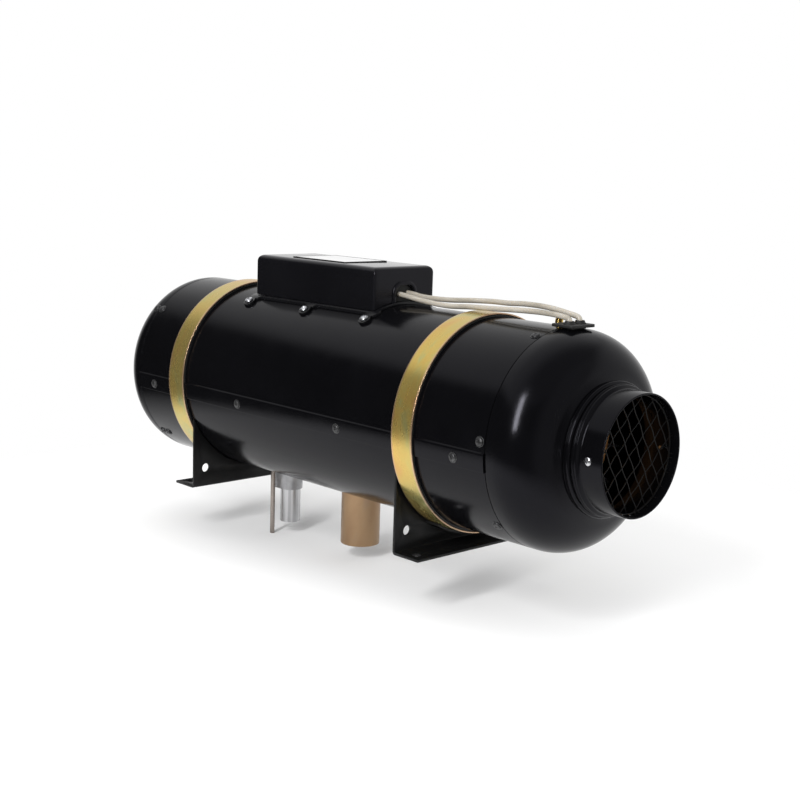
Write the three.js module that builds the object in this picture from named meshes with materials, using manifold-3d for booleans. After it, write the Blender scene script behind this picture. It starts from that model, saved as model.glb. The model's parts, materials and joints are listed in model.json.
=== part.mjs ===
// Diesel air heater: a tubular casing that holds a blower, a burner and a finned heat exchanger.
// Millimetres, +Z up, +X towards the hot-air outlet, -Y the side with the visible shell seam.
// The origin is the middle of the underside of the front bracket's foot. Inside the group below,
// x = 0 is the front seam of the casing and the casing's axis is y = z = 0.
import * as THREE from 'three';
import { mergeVertices } from 'three/addons/utils/BufferGeometryUtils.js';
import Module from 'manifold-3d';

const wasm = await Module();
wasm.setup();

// ---------------------------------------------------------------- driving dimensions
const seat = 0.3; // clearance between pieces that touch
const sheet = 1.5; // sheet of the casing, hoods and spout

const casingRadius = 100;
const casingLength = 525;
const casingSides = 48;
const hoodSides = 28;
const strapSides = 48;
const seamGap = 0.3; // each side of a butt seam

const lapTopAngle = 0.3; // joggled lap of the upper shell, degrees below the horizontal
const lapBottomAngle = 10.35;
const lapJoggle = 0.6;
const lapSheet = 1.2;

const spigotLength = 12; // hoods slide into the shells by this much

const domeStart = 4; // straight skirt of the outlet hood
const domeDepth = 46;
const neckRadius = 58.5;
const lipLength = 6;

const ductRadius = 54.1; // spout and intake collar, for 110 mm duct
const spoutEnd = 87.7;
const spoutBeadHeight = 3.6;
const spoutBeadLength = 5.5;

const intakeDepth = 35; // intake hood behind the rear seam
const intakeCorner = 22;
const collarLength = 17;

const grilleWire = 0.65;
const grilleRecess = 9;

const footDrop = 117; // casing axis above the underside of the feet
const bracketSheet = 2.5;
const bracketHalfWidth = 92;
const bracketArcClearance = 4.3;
const bracketFoot = 31.3; // foot flange in front of the plate
const frontPlateFace = -116.3;
const rearPlateFace = -431.2;
const plateHoleRadius = 4.75;
const plateHoleY = 76.6;
const plateHoleDrop = 96.2;
const footHoleRadius = 4.5;
const footHoleY = 81;

const strapWidth = 27.5;
const strapSheet = 1.2;
const strapToPlate = 2.8;
const linerThickness = 2.1;
const strapGapAngle = 24; // strap closure on the +Y side, above the horizontal
const strapGap = 9;
const earHeight = 15;
const strapBoltRadius = 2.8;

const boxRear = -394;
const boxFront = -208.3;
const boxHalfWidth = 39.4;
const boxTop = 137.3;
const boxWall = 2.2;
const boxCorner = 8;
const boxEdge = 6;
const baseSheet = 2.5;
const baseLip = 2.6; // base flange beyond the cover
const lugAngle = 59.6; // lug screws above the horizontal
const lugPlaces = [-390.6, -299, -208.5];
const lugRadius = 6.5;
const lugScrewRadius = 1.9;
const boardSheet = 1.6;
const boardHeight = 112;

const archHalfWidth = 16;
const archTop = 122.5;
const archRib = 4;
const archProud = 1.6;

const leadRadius = 2.5;
const leadSpacing = 14;
const grommetLength = 26;
const grommetWidth = 33;
const grommetPlate = 3.6;
const grommetMiddle = 6;
const bossRadius = 4.6;
const bossTop = 106;

const sensorRadius = 3.6;
const sensorX = -19.5;
const sensorAngle = 83.7;
const sensorTop = 108.5;

const exhaustX = -263;
const exhaustRadius = 19.25;
const exhaustWall = 1.6;
const exhaustBottom = -160;
const airPortX = -380.5;
const airPortRadius = 11;
const airPortWall = 1.5;
const airPortBottom = -160;
const fuelX = -396;
const fuelY = -10;
const fuelRadius = 2.5;
const fuelBottom = -169;
const portCastingBottom = -125;
const airBossRadius = 14.25;
const fuelBossRadius = 6.25;

const housingRear = -424;
const housingFront = -352;
const housingRadius = 62;
const housingWall = 4;
const eyeRadius = 18;
const separatorFront = -399;
const separatorSheet = 3;

const coreRadius = 62;
const coreWall = 5;
const finRadius = 90;
const finSheet = 2.4;
const finCount = 16;
const coreFront = -2;
const coreRear = -347.7;
const capDepth = 28;

const flameTubeRadius = 36;
const flameTubeWall = 1.5;
const flameTubeFront = -90;

const motorRadius = 36;
const motorRear = -506;
const motorWall = 3;
const shaftRadius = 4;
const bearingRadius = 11;
const bearingLength = 7;

const fanRadius = 86;
const fanBlades = 7;
const fanFront = -513;
const fanLength = 26;
const hubRadius = 21;
const impellerRadius = 46;
const impellerBlades = 7;

// ---------------------------------------------------------------- places worked out from them
const innerRadius = casingRadius - sheet;
const spigotRadius = innerRadius - seat;
const lapOuter = casingRadius + seat + lapSheet;
const linerOuter = casingRadius + seat + linerThickness;
const strapInner = linerOuter + seat;
const strapOuter = strapInner + strapSheet;
const bracketArc = casingRadius + bracketArcClearance;
const baseTop = casingRadius + seat + baseSheet;
const frontStrapRear = frontPlateFace + bracketSheet + strapToPlate;
const rearStrapRear = rearPlateFace - bracketSheet - strapToPlate - strapWidth;
const frontFootMiddle = frontPlateFace + bracketSheet + bracketFoot / 2;
const intakeEnd = -casingLength - intakeDepth;
const collarEnd = intakeEnd - collarLength;
const motorFront = housingRear - seat;
const grilleX = spoutEnd - grilleRecess;
const coreInner = coreRadius - coreWall;

// ---------------------------------------------------------------- materials
function finish(color, roughness, metalness) {
  return new THREE.MeshStandardMaterial({ color, roughness, metalness });
}

const blackPaint = () => finish(0x17171a, 0.38, 0.2);
const blackSheet = () => finish(0x121214, 0.5, 0.2);
const blackPlastic = () => finish(0x141416, 0.5, 0);
const rubber = () => finish(0x0d0d0e, 0.75, 0);
const yellowZinc = () => finish(0xb9a24c, 0.3, 0.9);
const aluminium = () => finish(0xb9babc, 0.4, 0.9);
const castAluminium = () => finish(0x8f9194, 0.55, 0.8);
const steel = () => finish(0xc4c6c9, 0.25, 1);
const copper = () => finish(0xb0672f, 0.35, 0.9);
const browned = () => finish(0x6b5548, 0.45, 0.8);
const brass = () => finish(0xb08a3c, 0.35, 0.9);
const silicone = () => finish(0xcfc8b8, 0.45, 0);
const board = () => finish(0x1f5b33, 0.6, 0);
const labelFilm = () => finish(0xd8d8d6, 0.4, 0.1);

// ---------------------------------------------------------------- geometry helpers
// A closed mesh with shared vertices, no face without area, and its faces pointing out.
function closedMesh(geometry) {
  geometry.deleteAttribute('normal');
  geometry.deleteAttribute('uv');
  const merged = mergeVertices(geometry, 1e-4);
  const place = merged.getAttribute('position').array;
  const faces = [];
  const index = merged.getIndex().array;
  let volume = 0;
  for (let i = 0; i < index.length; i += 3) {
    const [a, b, c] = [index[i], index[i + 1], index[i + 2]];
    if (a !== b && b !== c && c !== a) {
      faces.push(a, b, c);
      const p = new THREE.Vector3().fromArray(place, 3 * a);
      const q = new THREE.Vector3().fromArray(place, 3 * b);
      const r = new THREE.Vector3().fromArray(place, 3 * c);
      volume += p.dot(q.cross(r));
    }
  }
  if (volume < 0) {
    faces.reverse();
  }
  return { vertProperties: new Float32Array(place), triVerts: new Uint32Array(faces) };
}

function solidOf(geometry) {
  return new wasm.Manifold(new wasm.Mesh({ numProp: 3, ...closedMesh(geometry) }));
}

function geometryOf(solid) {
  const mesh = solid.getMesh();
  const geometry = new THREE.BufferGeometry();
  geometry.setAttribute('position', new THREE.BufferAttribute(new Float32Array(mesh.vertProperties), 3));
  geometry.setIndex(new THREE.BufferAttribute(new Uint32Array(mesh.triVerts), 1));
  geometry.computeVertexNormals();
  return geometry;
}

function joined(solids) {
  return solids.reduce((sum, next) => sum.add(next));
}

function cut(solid, tools) {
  return tools.reduce((rest, tool) => rest.subtract(tool), solid);
}

const radians = THREE.MathUtils.degToRad;

// Point of the Y-Z plane at an angle above +Y.
function onCircle(radius, angle) {
  return [radius * Math.cos(radians(angle)), radius * Math.sin(radians(angle))];
}

function arc(radius, from, to, steps) {
  const points = [];
  for (let i = 0; i <= steps; i += 1) {
    points.push(onCircle(radius, from + ((to - from) * i) / steps));
  }
  return points;
}

// Closed outline of [x, radius] points turned about the casing's axis.
function turned(outline, sides = 20) {
  const loop = [...outline, outline[0]].map(([x, radius]) => new THREE.Vector2(radius, x));
  return solidOf(new THREE.LatheGeometry(loop, sides).rotateZ(-Math.PI / 2));
}

// Closed outline of [radius, z] points turned about a vertical axis.
function turnedUpright(outline, x, y, sides = 24) {
  const loop = [...outline, outline[0]].map(([radius, z]) => new THREE.Vector2(radius, z));
  return solidOf(new THREE.LatheGeometry(loop, sides).rotateX(Math.PI / 2).translate(x, y, 0));
}

function shapeOf(outline) {
  return new THREE.Shape(outline.map(([u, v]) => new THREE.Vector2(u, v)));
}

// Outline of [y, z] points drawn along X.
function alongX(outline, from, to) {
  const geometry = new THREE.ExtrudeGeometry(shapeOf(outline), { depth: to - from, bevelEnabled: false });
  const turn = new THREE.Matrix4().makeBasis(
    new THREE.Vector3(0, 1, 0),
    new THREE.Vector3(0, 0, 1),
    new THREE.Vector3(1, 0, 0),
  );
  return solidOf(geometry.applyMatrix4(turn).translate(from, 0, 0));
}

// Outline of [x, z] points drawn along Y.
function alongY(outline, from, to) {
  const geometry = new THREE.ExtrudeGeometry(shapeOf(outline), { depth: to - from, bevelEnabled: false });
  return solidOf(geometry.rotateX(Math.PI / 2).translate(0, to, 0));
}

// Outline of [x, y] points drawn along Z.
function alongZ(outline, from, to) {
  const geometry = new THREE.ExtrudeGeometry(shapeOf(outline), { depth: to - from, bevelEnabled: false });
  return solidOf(geometry.translate(0, 0, from));
}

function block(x0, x1, y0, y1, z0, z1) {
  const geometry = new THREE.BoxGeometry(x1 - x0, y1 - y0, z1 - z0);
  return solidOf(geometry.translate((x0 + x1) / 2, (y0 + y1) / 2, (z0 + z1) / 2));
}

// Round bar between two points.
function bar(from, to, radius, sides = 16, endRadius = radius) {
  const a = new THREE.Vector3(...from);
  const b = new THREE.Vector3(...to);
  const geometry = new THREE.CylinderGeometry(endRadius, radius, a.distanceTo(b), sides);
  const along = b.clone().sub(a).normalize();
  geometry.applyQuaternion(new THREE.Quaternion().setFromUnitVectors(new THREE.Vector3(0, 1, 0), along));
  const middle = a.add(b).multiplyScalar(0.5);
  return solidOf(geometry.translate(middle.x, middle.y, middle.z));
}

// Bar that points out from the casing's axis, between two distances from it.
function spoke(x, angle, from, to, radius, sides = 16, endRadius = radius) {
  return bar([x, ...onCircle(from, angle)], [x, ...onCircle(to, angle)], radius, sides, endRadius);
}

function ring(inner, outer, from, to, sides = 24) {
  return turned([[from, inner], [to, inner], [to, outer], [from, outer]], sides);
}

function disc(radius, from, to, sides = 24) {
  return turned([[from, 0], [to, 0], [to, radius], [from, radius]], sides);
}

// Rounded rectangle as [u, v] points.
function roundedOutline(u0, u1, v0, v1, radius, steps = 4) {
  const corners = [
    [u1 - radius, v1 - radius, 0],
    [u0 + radius, v1 - radius, 90],
    [u0 + radius, v0 + radius, 180],
    [u1 - radius, v0 + radius, 270],
  ];
  return corners.flatMap(([u, v, start]) =>
    arc(radius, start, start + 90, steps).map(([du, dv]) => [u + du, v + dv]),
  );
}

// Solid through closed rings of equal point counts, capped at both ends.
function loft(rings, capOutlines) {
  const count = rings[0].length;
  const place = rings.flat(2);
  const faces = [];
  for (let k = 0; k < rings.length - 1; k += 1) {
    for (let i = 0; i < count; i += 1) {
      const j = (i + 1) % count;
      const [a, b] = [k * count + i, k * count + j];
      faces.push(a, b, b + count, a, b + count, a + count);
    }
  }
  const flat = (outline) => outline.map(([u, v]) => new THREE.Vector2(u, v));
  const last = (rings.length - 1) * count;
  for (const [a, b, c] of THREE.ShapeUtils.triangulateShape(flat(capOutlines[0]), [])) {
    faces.push(c, b, a);
  }
  for (const [a, b, c] of THREE.ShapeUtils.triangulateShape(flat(capOutlines[1]), [])) {
    faces.push(last + a, last + b, last + c);
  }
  const geometry = new THREE.BufferGeometry();
  geometry.setAttribute('position', new THREE.BufferAttribute(new Float32Array(place), 3));
  geometry.setIndex(faces);
  return solidOf(geometry);
}

// ---------------------------------------------------------------- casing shells
function upperShellSection() {
  const top = -lapTopAngle;
  const steps = casingSides / 2;
  return [
    ...arc(lapOuter, -lapBottomAngle, top - lapJoggle, 3),
    ...arc(casingRadius, top, 180 - top, steps),
    ...arc(lapOuter, 180 - top + lapJoggle, 180 + lapBottomAngle, 3),
    ...arc(casingRadius + seat, 180 + lapBottomAngle, 180 - top + 2 * lapJoggle, 3),
    ...arc(innerRadius, 180 - top + lapJoggle, top - lapJoggle, steps),
    ...arc(casingRadius + seat, top - 2 * lapJoggle, -lapBottomAngle, 3),
  ];
}

function lowerShellSection() {
  const edge = lapTopAngle + 3 * lapJoggle;
  const steps = casingSides / 2;
  return [
    ...arc(casingRadius, 180 + edge, 360 - edge, steps),
    ...arc(innerRadius, 360 - edge, 180 + edge, steps),
  ];
}

function lugScrewHoles() {
  return lugPlaces.flatMap((x) =>
    [lugAngle, 180 - lugAngle].map((angle) => spoke(x, angle, 95, 106, lugScrewRadius + seat, 6)),
  );
}

function grommetOpening(clearance) {
  const half = grommetLength / 2 - 4 + clearance;
  const side = grommetWidth / 2 - 5 + clearance;
  return block(grommetMiddle - half, grommetMiddle + half, -side, side, 80, 110);
}

function casingUpperShell() {
  const shell = alongX(upperShellSection(), -casingLength + seamGap, -seamGap);
  const sensorHole = spoke(sensorX, sensorAngle, 90, 110, sensorRadius + seat, 12);
  const harnessHole = alongZ(roundedOutline(-240, -222, -12, 12, 6, 2), 90, 110);
  return cut(shell, [grommetOpening(seat), sensorHole, harnessHole, ...lugScrewHoles()]);
}

function portFootprint(clearance) {
  const air = bar([airPortX, 0, -60], [airPortX, 0, -130], airBossRadius + clearance, 24);
  const fuel = bar([fuelX, fuelY, -60], [fuelX, fuelY, -130], fuelBossRadius + clearance, 16);
  return air.add(fuel);
}

function casingLowerShell() {
  const shell = alongX(lowerShellSection(), -casingLength + seamGap, -seamGap);
  const exhaustHole = bar([exhaustX, 0, -80], [exhaustX, 0, -110], exhaustRadius + 0.8, 28);
  return cut(shell, [exhaustHole, portFootprint(0.5)]);
}

// ---------------------------------------------------------------- hoods and spout
function domePoints(offset, steps) {
  const depth = domeDepth - offset;
  const drop = casingRadius - neckRadius - 1.5;
  const points = [];
  for (let i = 0; i <= steps; i += 1) {
    const turn = radians((84 * i) / steps);
    const radius = neckRadius + 1.5 + (drop - offset) * Math.cos(turn);
    points.push([domeStart + depth * Math.sin(turn), radius]);
  }
  return points;
}

// Outside of the shells and the outlet hood, thickened by an amount.
function outerSkin(amount) {
  const outline = domePoints(0, 6).slice(0, 5).map(([x, radius]) => [x, radius + amount]);
  return turned([[-60, 0], [-60, casingRadius + amount], ...outline, [outline.at(-1)[0], 0]], 2 * casingSides);
}

function outletHood() {
  const neckX = domeStart + domeDepth;
  const lipEnd = neckX + 1.5 + lipLength;
  const lipInner = neckRadius - sheet;
  const solid = turned([
    [-spigotLength, spigotRadius],
    [seamGap, spigotRadius],
    [seamGap, casingRadius],
    ...domePoints(0, 6),
    [neckX + 2.4, neckRadius],
    [lipEnd - 1.4, neckRadius + 0.9],
    [lipEnd, neckRadius],
    [lipEnd, lipInner],
    [neckX + 0.6, lipInner],
    ...domePoints(sheet, 2).reverse(),
    [-spigotLength, spigotRadius - sheet],
  ], hoodSides);
  return cut(solid, [grommetOpening(seat)]);
}

function outletSpout() {
  const sleeveRadius = neckRadius - sheet - seat;
  const sleeveEnd = domeStart + domeDepth + 1.5 + lipLength + seat;
  const beadEnd = sleeveEnd + spoutBeadLength;
  const solid = turned([
    [sleeveEnd - 8, sleeveRadius],
    [sleeveEnd, sleeveRadius],
    [sleeveEnd, ductRadius + spoutBeadHeight],
    [sleeveEnd + 1.8, ductRadius + spoutBeadHeight + 0.7],
    [beadEnd - 1.6, ductRadius + spoutBeadHeight - 0.6],
    [beadEnd, ductRadius],
    [spoutEnd, ductRadius],
    [spoutEnd, ductRadius - sheet],
    [beadEnd - 1, ductRadius - sheet],
    [sleeveEnd + 1, ductRadius + 0.9],
    [sleeveEnd - 8, ductRadius + 0.9],
  ], hoodSides);
  return cut(solid, spoutScrewPlaces().map((angle) => spoke(spoutScrewX(), angle, 48, 60, 2, 8)));
}

function intakeHood() {
  const corner = (offset, steps) => {
    const points = [];
    for (let i = 0; i <= steps; i += 1) {
      const turn = radians((90 * i) / steps);
      const reach = intakeCorner - offset;
      points.push([
        intakeEnd + intakeCorner - reach * Math.sin(turn),
        casingRadius - intakeCorner + reach * Math.cos(turn),
      ]);
    }
    return points;
  };
  return turned([
    [-casingLength + spigotLength, spigotRadius],
    [-casingLength - seamGap, spigotRadius],
    [-casingLength - seamGap, casingRadius],
    ...corner(0, 4),
    [intakeEnd, ductRadius],
    [collarEnd + 2.4, ductRadius],
    [collarEnd + 1.2, ductRadius + 1],
    [collarEnd, ductRadius + 0.6],
    [collarEnd, ductRadius - sheet],
    [intakeEnd + sheet, ductRadius - sheet],
    ...corner(sheet, 2).reverse(),
    [-casingLength + spigotLength, spigotRadius - sheet],
  ], hoodSides);
}

// ---------------------------------------------------------------- grilles
function spoutScrewX() {
  return 73.5;
}

function spoutScrewPlaces() {
  return [0, 180];
}

function spoutScrew(angle) {
  const head = spoke(spoutScrewX(), angle, ductRadius + seat, ductRadius + 2.4, 3.9, 12, 2.6);
  const shank = spoke(spoutScrewX(), angle, ductRadius - 5.5, ductRadius + 1, 1.6, 8);
  return head.add(shank);
}

// Outline of a straight bar in the Y-Z plane.
function strip(start, end, half) {
  const [ny, nz] = [start[2] - end[2], end[1] - start[1]];
  const scale = half / Math.hypot(ny, nz);
  const corner = (point, side) => [point[1] + side * scale * ny, point[2] + side * scale * nz];
  return [corner(start, 1), corner(start, -1), corner(end, -1), corner(end, 1)];
}

// Straight wires of one direction, spaced evenly across a disc in the plane x.
function wireFamily(x, reach, angle, spacing, phase) {
  const wires = [];
  for (let k = -8; k <= 8; k += 1) {
    const offset = (k + phase) * spacing;
    if (Math.abs(offset) < reach - 3) {
      const half = Math.sqrt(reach ** 2 - offset ** 2);
      const [ay, az] = onCircle(1, angle);
      const start = [x, -az * offset - ay * half, ay * offset - az * half];
      const end = [x, -az * offset + ay * half, ay * offset + az * half];
      wires.push(alongX(strip(start, end, grilleWire), x - grilleWire, x + grilleWire));
    }
  }
  return wires;
}

function outletGrille() {
  const rimOuter = ductRadius - sheet - seat;
  const rim = ring(rimOuter - 1.4, rimOuter, grilleX - 1, grilleX + 1, 28);
  const wires = [
    ...wireFamily(grilleX, rimOuter - 0.9, -59.4, 11.9, 0.5),
    ...wireFamily(grilleX, rimOuter - 0.9, 42.8, 14.5, 0.2),
  ];
  return joined([rim, ...wires]);
}

function intakeGrille() {
  const rimOuter = ductRadius - sheet - 2 * seat;
  const place = collarEnd + 6;
  const wireRing = (radius) => ring(radius - 1, radius + 1, place - 1, place + 1, 16);
  const rings = [rimOuter - 1, 32].map(wireRing);
  const spokes = [0, 1, 2, 3, 4, 5].map((k) => {
    const [from, to] = [9, rimOuter - 1].map((radius) => [place, ...onCircle(radius, 30 + 60 * k)]);
    return alongX(strip(from, to, 1), place - 1, place + 1);
  });
  return joined([...rings, disc(12, place - 1, place + 1, 12), ...spokes]);
}

// ---------------------------------------------------------------- straps and brackets
function strapLiner(rear) {
  const outline = [];
  for (let k = 0; k < strapSides; k += 1) {
    outline.push(onCircle(linerOuter, (360 * k) / strapSides));
  }
  const band = alongX(outline, rear + 0.5, rear + strapWidth - 0.5);
  const bore = (radius) => disc(radius, rear - 1, rear + strapWidth + 1, strapSides);
  const lapBand = (side) => {
    const [from, to] = side > 0 ? [-lapBottomAngle - 1, lapTopAngle + 1] : [179 - lapTopAngle, 181 + lapBottomAngle];
    const outlineOfLap = [...arc(lapOuter + seat, from, to, 3), ...arc(90, to, from, 1)];
    return alongX(outlineOfLap, rear - 1, rear + strapWidth + 1);
  };
  return cut(band, [bore(casingRadius + seat), lapBand(1), lapBand(-1)]);
}

// Clamp band with two ears and its closing gap.
function strap(rear) {
  const halfGap = THREE.MathUtils.radToDeg(strapGap / 2 / strapInner);
  const from = strapGapAngle + halfGap;
  const to = strapGapAngle - halfGap + 360;
  const band = alongX(
    [...arc(strapOuter, from, to, strapSides), ...arc(strapInner, to, from, strapSides)],
    rear,
    rear + strapWidth,
  );
  const ear = (angle, side) => {
    const outward = onCircle(1, angle);
    const across = [-outward[1] * side, outward[0] * side];
    const point = (height, width) => [
      outward[0] * height + across[0] * width,
      outward[1] * height + across[1] * width,
    ];
    return alongX(
      [
        point(strapInner + 0.1, 0),
        point(strapOuter + earHeight, 0),
        point(strapOuter + earHeight, strapSheet + 0.3),
        point(strapInner + 0.1, strapSheet + 0.3),
      ],
      rear + 4,
      rear + strapWidth - 4,
    );
  };
  const solid = joined([band, ear(from, 1), ear(to - 360, -1)]);
  return cut(solid, [strapBoltBar(rear, strapBoltRadius + seat, -16, 16)]);
}

function strapBoltBar(rear, radius, from, to, sides = 10) {
  const middle = rear + strapWidth / 2;
  const outward = onCircle(strapOuter + earHeight * 0.55, strapGapAngle);
  const across = [-Math.sin(radians(strapGapAngle)), Math.cos(radians(strapGapAngle))];
  const place = (step) => [middle, outward[0] + across[0] * step, outward[1] + across[1] * step];
  return bar(place(from), place(to), radius, sides);
}

function strapBolt(rear) {
  const face = strapGap / 2 + strapSheet + 0.3 + seat + 1;
  return joined([
    strapBoltBar(rear, strapBoltRadius, -face - 7, face + 1),
    strapBoltBar(rear, 5, face, face + 4, 6),
    strapBoltBar(rear, 5, -face - 5, -face, 6),
  ]);
}

// Sheet bracket: a plate with an arc for the casing, a saddle tab under the strap and a foot.
// facing is +1 where the foot points to +X.
function bracket(plateFace, facing) {
  const along = (distance) => plateFace + facing * distance;
  const span = (a, b) => [Math.min(along(a), along(b)), Math.max(along(a), along(b))];
  const endAngle = THREE.MathUtils.radToDeg(Math.acos(bracketHalfWidth / bracketArc));
  const plate = alongX(
    [
      [-bracketHalfWidth, -footDrop],
      [bracketHalfWidth, -footDrop],
      ...arc(bracketArc, -endAngle, endAngle - 180, 20),
    ],
    ...span(0, bracketSheet),
  );
  const foot = alongZ(
    roundedOutline(...span(0, bracketSheet + bracketFoot), -bracketHalfWidth, bracketHalfWidth, 1.2, 2),
    -footDrop,
    -footDrop + bracketSheet,
  );
  const saddleInner = strapOuter + seat;
  const saddle = alongX(
    [...arc(saddleInner, -120, -60, 10), ...arc(saddleInner + bracketSheet, -60, -120, 10)],
    ...span(0.2, bracketSheet + strapToPlate + 14),
  );
  const holes = [-1, 1].flatMap((side) => [
    bar(
      [along(-5), side * plateHoleY, -plateHoleDrop],
      [along(10), side * plateHoleY, -plateHoleDrop],
      plateHoleRadius,
      14,
    ),
    bar(
      [along(bracketSheet + 18), side * footHoleY, -footDrop - 5],
      [along(bracketSheet + 18), side * footHoleY, -footDrop + 10],
      footHoleRadius,
      14,
    ),
  ]);
  return cut(joined([plate, foot, saddle]), holes);
}

// ---------------------------------------------------------------- control box
function controlBoxBase() {
  const band = turned([[-410, casingRadius + seat], [-190, casingRadius + seat], [-190, baseTop], [-410, baseTop]], casingSides);
  const print = alongZ(
    roundedOutline(boxRear - baseLip, boxFront + baseLip, -boxHalfWidth - baseLip, boxHalfWidth + baseLip, 9, 3),
    60,
    115,
  );
  const lugs = lugPlaces.flatMap((x) =>
    [lugAngle, 180 - lugAngle].flatMap((angle) => {
      const inboard = angle < 90 ? angle + 7 : angle - 7;
      return [spoke(x, angle, 96, 108, lugRadius, 8), spoke(x, inboard, 96, 108, lugRadius + 1.4, 4)];
    }),
  );
  const posts = [boxRear + 19, boxFront - 24].flatMap((x) =>
    [-28, 28].map((y) => bar([x, y, 99.5], [x, y, boardHeight - seat], 3.5, 4)),
  );
  const plate = band.intersect(joined([print, ...lugs]));
  const harnessHole = alongZ(roundedOutline(-240, -222, -12, 12, 6, 2), 90, 110);
  return cut(joined([plate, ...posts]), [harnessHole, ...lugScrewHoles()]);
}

function lugScrew(x, angle) {
  const head = spoke(x, angle, baseTop + seat, baseTop + 2.9, 4.4, 8, 2.8);
  const shank = spoke(x, angle, casingRadius - 4, baseTop + 1, lugScrewRadius, 5);
  return head.add(shank);
}

// Box with rounded upright and top edges, reaching down to the axis.
function boxForm(inset) {
  const [x0, x1] = [boxRear + inset, boxFront - inset];
  const half = boxHalfWidth - inset;
  const edge = boxEdge - inset / 2;
  const outline = roundedOutline(x0 + edge, x1 - edge, -half + edge, half - edge, boxCorner - boxEdge, 2);
  const geometry = new THREE.ExtrudeGeometry(shapeOf(outline), {
    depth: boxTop - inset - edge - 80,
    bevelEnabled: true,
    bevelSize: edge,
    bevelThickness: edge,
    bevelSegments: 3,
  });
  return solidOf(geometry.translate(0, 0, 80));
}

function archOutline(halfWidth, top, corner) {
  return [
    [halfWidth, 90],
    ...arc(corner, 0, 90, 5).map(([y, z]) => [halfWidth - corner + y, top - corner + z]),
    ...arc(corner, 90, 180, 5).map(([y, z]) => [-halfWidth + corner + y, top - corner + z]),
    [-halfWidth, 90],
  ];
}

function controlBoxCover() {
  const rib = alongX(archOutline(archHalfWidth, archTop, 11), boxFront - 4, boxFront + archProud);
  const opening = alongX(
    archOutline(archHalfWidth - archRib, archTop - archRib, 8),
    boxFront - 8,
    boxFront + 4,
  );
  const under = disc(baseTop + seat, -420, -180, casingSides);
  return cut(boxForm(0).add(rib), [boxForm(boxWall), opening, under]);
}

function boxGrommet() {
  const body = alongX(
    archOutline(archHalfWidth - archRib - seat, archTop - archRib - seat, 7.7),
    boxFront - 6,
    boxFront - 2.6,
  );
  const holes = leadRoutes().map((route) =>
    bar([boxFront - 10, route[0][1], route[0][2]], [boxFront + 2, route[0][1], route[0][2]], leadRadius + seat, 8),
  );
  return cut(body, [disc(baseTop + seat, -420, -180, casingSides), ...holes]);
}

function controlBoard() {
  return alongZ(
    roundedOutline(boxRear + 8, boxFront - 14, -boxHalfWidth + 5, boxHalfWidth - 5, 2, 1),
    boardHeight,
    boardHeight + boardSheet,
  );
}

function ratingPlate() {
  return alongZ(roundedOutline(-348, -265, -29, 29, 2, 2), boxTop + 0.05, boxTop + 0.55);
}

// ---------------------------------------------------------------- leads and sensor
function leadRoutes() {
  const entry = [grommetMiddle + 1.6, bossTop - 1.6];
  const near = [
    [-216, -5, 110.2],
    [-204, -5, 109.6],
    [-176, -5.6, 106.6],
    [-141, -6.5, 105.2],
    [-111, -7.4, 107.2],
    [-84, -7.8, 108.3],
    [-50, -8, 110.2],
    [-20, -7.6, 110.8],
    [0, -7.1, 109.6],
    [entry[0] - 1, -leadSpacing / 2, 107.9],
    [entry[0], -leadSpacing / 2, entry[1]],
  ];
  const far = [
    [-216, 6.8, 110.9],
    [-204, 6.8, 110.4],
    [-190, 6.9, 108.9],
    [-157, 7.4, 108.9],
    [-124, 8, 111.3],
    [-99, 8, 112.8],
    [-78, 8, 113.2],
    [-57, 8, 114.4],
    [-30, 7.6, 114],
    [-8, 7.2, 111.4],
    [entry[0] - 1.5, leadSpacing / 2, 108.4],
    [entry[0], leadSpacing / 2, entry[1]],
  ];
  return [near, far];
}

// Lead along its route; a larger radius and deeper end give the bore that it lies in.
function lead(route, radius = leadRadius, deeper = 0) {
  const points = route.map((point) => new THREE.Vector3(...point));
  points.at(-1).z -= deeper;
  const path = new THREE.CatmullRomCurve3(points, false, 'centripetal');
  const section = new THREE.Shape(
    Array.from({ length: 8 }, (_, k) => {
      const [u, v] = onCircle(radius, 45 * k);
      return new THREE.Vector2(u, v);
    }),
  );
  return solidOf(new THREE.ExtrudeGeometry(section, { steps: 26, extrudePath: path, bevelEnabled: false }));
}

function leadGrommet() {
  const half = grommetLength / 2;
  const print = alongZ(
    roundedOutline(grommetMiddle - half, grommetMiddle + half, -grommetWidth / 2, grommetWidth / 2, 3, 3),
    80,
    115,
  );
  const plate = outerSkin(seat + grommetPlate).intersect(print).subtract(outerSkin(seat));
  const plug = grommetOpening(0).intersect(block(-30, 40, -30, 30, 90, 102));
  const x = grommetMiddle + 1.6;
  const bosses = [-1, 1].map((side) =>
    turnedUpright(
      [[0, 101.5], [bossRadius + 0.8, 101.5], [bossRadius + 0.8, 103.6], [bossRadius, 104.2], [bossRadius, bossTop], [0, bossTop]],
      x,
      (side * leadSpacing) / 2,
      16,
    ),
  );
  const bores = leadRoutes().map((route) => lead(route, leadRadius + seat, seat));
  return cut(joined([plate, plug, ...bosses]), bores);
}

function temperatureSensor() {
  return joined([
    spoke(sensorX, sensorAngle, 88, sensorTop, sensorRadius, 12),
    spoke(sensorX, sensorAngle, innerRadius - 4.2, innerRadius - 1.2, 6.5, 6),
  ]);
}

// ---------------------------------------------------------------- ports below the casing
function portCasting() {
  const body = portFootprint(0).intersect(block(-430, -340, -40, 40, portCastingBottom, -40));
  const tools = [
    disc(housingRadius + seat, -440, -340, 24),
    bar([airPortX, 0, -40], [airPortX, 0, -140], airPortRadius - airPortWall, 16),
    bar([airPortX, 0, -105], [airPortX, 0, -140], airPortRadius + 2 * seat, 20),
    bar([fuelX, fuelY, -40], [fuelX, fuelY, -140], fuelRadius + 2 * seat, 10),
  ];
  return cut(body, tools);
}

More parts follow.
